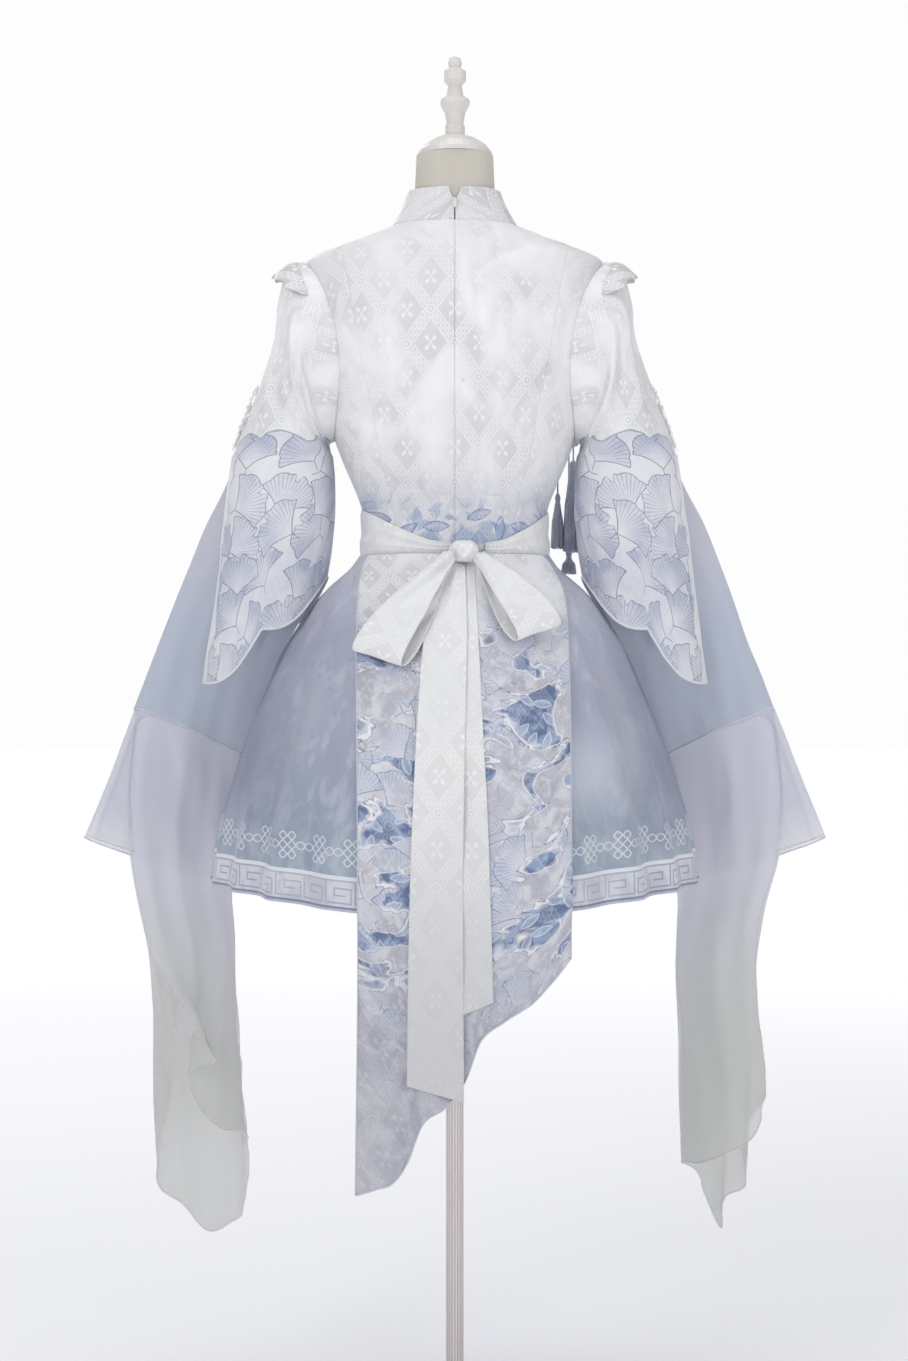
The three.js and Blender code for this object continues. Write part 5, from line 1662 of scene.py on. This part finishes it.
class DRESS_OT_organza(bpy.types.Operator):
    """Three tiers of organza a side, with narrow rolled hems"""
    bl_idname = "dress.organza"
    bl_label = "Organza"

    def execute(self, context):
        size = context.scene.dress_sizes
        blue = finish("organza_blue", sheer(
            (0.54, 0.545, 0.63), (0.47, 0.515, 0.61), (-0.06, -0.22), thick=0.46, glow=0.2))
        flare = finish("organza_lavender", sheer(
            (0.56, 0.565, 0.66), (0.68, 0.68, 0.71), (-0.08, -0.16), thick=0.36, glow=0.2,
            clear=0.1))
        pale = finish("organza_pale", sheer(
            (0.63, 0.635, 0.705), (0.58, 0.585, 0.575), (-0.12, -0.40), thick=0.45, glow=0.22))
        hem = finish("organza_hem", plain((0.74, 0.745, 0.76), 0.5, 0.1))
        # part, material, slot, rows, how its folds grow from its top, and its ripples in mm
        tiers = (
            ("upper", blue, "organza", UPPER_ROWS, lambda t: 0.6 * smooth(t * 2 - 1), 1.6),
            ("flare", flare, "organza", FLARE_ROWS, lambda t: 0.6 + 0.5 * t, 2.4),
            ("drape", pale, "organza_pale", DRAPE_ROWS, lambda t: 0.6 + 0.7 * t, 3.0),
        )
        around = 180
        for part, material, slot, rows, strength, wave in tiers:
            last = len(rows) - 1
            for side, sign in SIDES:
                tube = organza(rows, strength, DRAPE_HEMS[side] if part == "drape" else None,
                               0.85 if part == "flare" else 0.0)
                surface = lambda u, v, tube=tube, last=last: tube(u, last - v)
                ripple = together(ripples(1.0 if sign > 0 else 2.3, wave, 0.5),
                                  wrinkles(sign, 0.6, 0.05, 0.1))
                fall = lambda a, b, ripple=ripple: ripple(a, b) * smooth(-b / 0.05)
                name = f"sheer_{part}_{side}"
                piece = cloth(f"{name}_cloth", surface, np.linspace(-0.5, 0.5, around),
                              spaced(0, last, step=0.095 if last > 2 else 0.048), 1, fall,
                              closed=True, wall=size.organza, flip=sign < 0, hung=True)
                rim = along_points(GRIDS[f"{name}_cloth"][0])
                edges = [dress(roll(f"{name}_hem", rim, 0.75, 420, 6), hem)]
                if part == "drape":
                    outer = along_points(GRIDS[f"{name}_cloth"][:, around // 2 - 1])
                    edges.append(dress(roll(f"{name}_fold", outer, 0.7, 200, 6), hem))
                sewn(piece, material)
        return {"FINISHED"}


class DRESS_OT_zip(bpy.types.Operator):
    """The centre back zip: tape, slider and pull"""
    bl_idname = "dress.zip"
    bl_label = "Zip"

    def execute(self, context):
        tape = finish("zip_tape", plain((0.72, 0.72, 0.75), 0.55, 0.2, 900.0))
        metal = finish("zip_enamel", plain((0.80, 0.80, 0.82), 0.28, 0.02))
        finish_solids((("zip_tape", tape), ("zip_slider", metal), ("zip_pull", metal)))
        return {"FINISHED"}


TASSEL_CORD_TOP = 1236.5


class DRESS_OT_tassels(bpy.types.Operator):
    """Knot and three silk tassels under the right arm"""
    bl_idname = "dress.tassels"
    bl_label = "Tassels"

    # x and y, the heights of its neck and its lowest threads, and its radius, in millimetres
    TASSELS = {
        "tassel_inner": (-132, -80, 1168, 1107, 8),
        "tassel_middle": (-152, -78, 1210, 1102, 12),
        "tassel_low": (-147, -94, 1098, 1075, 9),
    }

    def execute(self, context):
        material = finish("thread_bundle", thread_bundle)
        for name, (x, y, head, hem, radius) in self.TASSELS.items():
            self.tassel(name, x, y, head, hem, radius, material)
        build, column, row = grid_of(range(49), range(25))
        turn, level = column / 48 * TURN, row / 12 - 1
        full = np.where(np.abs(level) > 0.999, 0.02, np.sqrt(np.maximum(1 - level**6 * 0.6, 0)))
        wrap = 0.8 * np.cos(turn * 3 + level * 5)
        x = -141.3 + (17.2 + wrap) * signed_power(np.cos(turn), 0.7) * full
        y = -84 + (11.2 + wrap) * signed_power(np.sin(turn), 0.7) * full
        close_rings(build, place(x, y, 1243 + level * 6) * MM, turn * 0.015, level * 0.006)
        cord = dress(finished("tassel_knot_cord", build), material)
        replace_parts(cord, "tassel_knot")
        return {"FINISHED"}

    def tassel(self, name, x, y, head, hem, radius, material):
        tail = head - hem
        stages = {
            "t": [0, 0.02, 0.34, 0.66, 0.74, 0.78, 0.84, 0.9, 0.93, 1],
            "z": [hem, hem, hem + tail * 0.55, head - 5, head - 2, head, head + 4, head + 7.5,
                  head + 9, TASSEL_CORD_TOP],
            "r": [0.1, radius, radius * 0.84, radius * 0.46, radius * 0.36, radius * 0.42,
                  radius * 0.46, radius * 0.3, 1.1, 1.1],
        }
        build, column, row = grid_of(range(73), range(71))
        turn, t = column / 72 * TURN, row / 70
        radii = np.maximum(np.interp(t, stages["t"], stages["r"]), 0.05)
        z = np.interp(t, stages["t"], stages["z"])
        loose = smooth((0.72 - t) / 0.5)
        strands = 0.10 * np.cos(turn * 13 + 2 * np.sin(turn * 3)) + 0.06 * np.cos(turn * 29 + 1)
        radii = radii * (1 + strands * loose)
        ragged = 1.6 * np.cos(turn * 7 + 2) * smooth((0.1 - t) / 0.1) * (t > 0)
        points = place(x + radii * np.cos(turn), y + radii * np.sin(turn), z + ragged) * MM
        close_rings(build, points, turn * radii * MM, z * MM)
        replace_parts(dress(finished(f"{name}_threads", build), material), name)


class DRESS_OT_form(bpy.types.Operator):
    """Finishes of the dress form and its stand"""
    bl_idname = "dress.form"
    bl_label = "Form and stand"

    def execute(self, context):
        paint = finish("cream_paint", plain((0.70, 0.68, 0.64), 0.3, 0.03, 300.0, 0.02))
        finish_solids((
            ("form_torso", finish("linen", linen)), ("form_cap", paint), ("form_finial", paint),
            ("stand_base", paint), ("stand_pole", finish("reeded_pole", reeded_pole)),
        ))
        return {"FINISHED"}


CAMERA_PLACE = (0.001, 3.0, 0.937)  # behind the form, level with the skirt
CAMERA_TURN = (math.pi / 2, 0, math.pi)  # level, looking towards -Y
SENSOR_HEIGHT = 36
LENS = 63.5
FLOOR_RADIUS = 30
FLOOR_GLOWS = 5.5  # the floor glows more and more up to this far out, in metres


class DRESS_OT_stage(bpy.types.Operator):
    """Camera, pale floor and soft studio light"""
    bl_idname = "dress.stage"
    bl_label = "Stage"

    def execute(self, context):
        scene = context.scene
        camera = bpy.data.objects.new("camera", bpy.data.cameras.new("camera"))
        camera.location, camera.rotation_euler = CAMERA_PLACE, CAMERA_TURN
        camera.data.sensor_fit, camera.data.sensor_height = "VERTICAL", SENSOR_HEIGHT
        camera.data.lens = LENS
        scene.collection.objects.link(camera)
        scene.camera = camera
        scene.view_settings.view_transform = "Standard"
        build = bmesh.new()
        bmesh.ops.create_circle(build, cap_ends=True, segments=96, radius=FLOOR_RADIUS)
        floor = finished("floor", build)
        floor.data.materials.append(self.pale_floor())
        # name, place, power, width and what it points at
        lamps = (
            ("key", (1.9, 2.6, 2.6), 27, 1.3, (0, 0, 1.1)),
            ("fill", (-2.4, 2.3, 1.9), 20, 1.8, (0, 0, 1.0)),
            ("rim", (1.2, -2.4, 2.6), 14, 1.5, (0, 0, 1.1)),
            ("top", (0.1, 0.3, 3.4), 16, 1.2, (0, 0, 1.0)),
        )
        for name, spot, power, width, aim in lamps:
            lamp = bpy.data.objects.new(name, bpy.data.lights.new(name, "AREA"))
            lamp.data.energy, lamp.data.size = power, width
            lamp.location = spot
            lamp.rotation_euler = (Vector(aim) - Vector(spot)).to_track_quat("-Z", "Y").to_euler()
            scene.collection.objects.link(lamp)
        self.sky(scene)
        return {"FINISHED"}

    def pale_floor(self):
        def build():
            spot = in_object()
            near = ease(root(axis(spot, 0) ** 2 + axis(spot, 1) ** 2), FLOOR_GLOWS, 0.0)
            return {"Base Color": (0.86, 0.86, 0.87, 1), "Roughness": 0.9, "Emission Strength": 1.0,
                    "Emission Color": tint(near, (0.63, 0.632, 0.64), (0.18, 0.182, 0.2))}
        return finish("pale_floor", build)

    def sky(self, scene):
        scene.world = bpy.data.worlds.new("studio")
        scene.world.use_nodes = True
        tree = scene.world.node_tree
        Wire.tree = tree
        shader = tree.nodes["Background"]
        seen = Wire.node("ShaderNodeLightPath", None, None, 0)
        upward = axis(Wire.node("ShaderNodeTexCoord", None, None, 0), 2)
        backdrop = tint(ease(upward, 0.0, 0.2), (0.98, 0.982, 0.985), (0.985, 0.985, 0.985))
        tree.links.new(tint(seen, (0.42, 0.425, 0.44), backdrop).socket, shader.inputs[0])


# ---- the panel in the sidebar, and making it all ----
OPERATORS = (
    DRESS_OT_stage, DRESS_OT_bodice, DRESS_OT_skirt, DRESS_OT_panel, DRESS_OT_bow, DRESS_OT_sleeves,
    DRESS_OT_trim, DRESS_OT_cuffs, DRESS_OT_organza, DRESS_OT_zip, DRESS_OT_tassels, DRESS_OT_form,
)


class DRESS_PT_panel(bpy.types.Panel):
    """Pieces of the dress set"""
    bl_idname = "DRESS_PT_panel"
    bl_label = "Dress set"
    bl_space_type = "VIEW_3D"
    bl_region_type = "UI"
    bl_category = "Dress"

    def draw(self, context):
        for group in (context.scene.dress_sizes, context.scene.dress_colours):
            column = self.layout.column(align=True)
            for name in group.__annotations__:
                column.prop(group, name)
        for operator in OPERATORS:
            self.layout.operator(operator.bl_idname)


CLASSES = (DressSizes, DressColours, *OPERATORS, DRESS_PT_panel)


def register():
    for made in CLASSES:
        bpy.utils.register_class(made)
    bpy.types.Scene.dress_sizes = bpy.props.PointerProperty(type=DressSizes)
    bpy.types.Scene.dress_colours = bpy.props.PointerProperty(type=DressColours)


def unregister():
    del bpy.types.Scene.dress_colours
    del bpy.types.Scene.dress_sizes
    for made in reversed(CLASSES):
        bpy.utils.unregister_class(made)


def main():
    register()
    for operator in OPERATORS:
        group, name = operator.bl_idname.split(".")
        getattr(getattr(bpy.ops, group), name)()


if __name__ == "__main__":
    main()
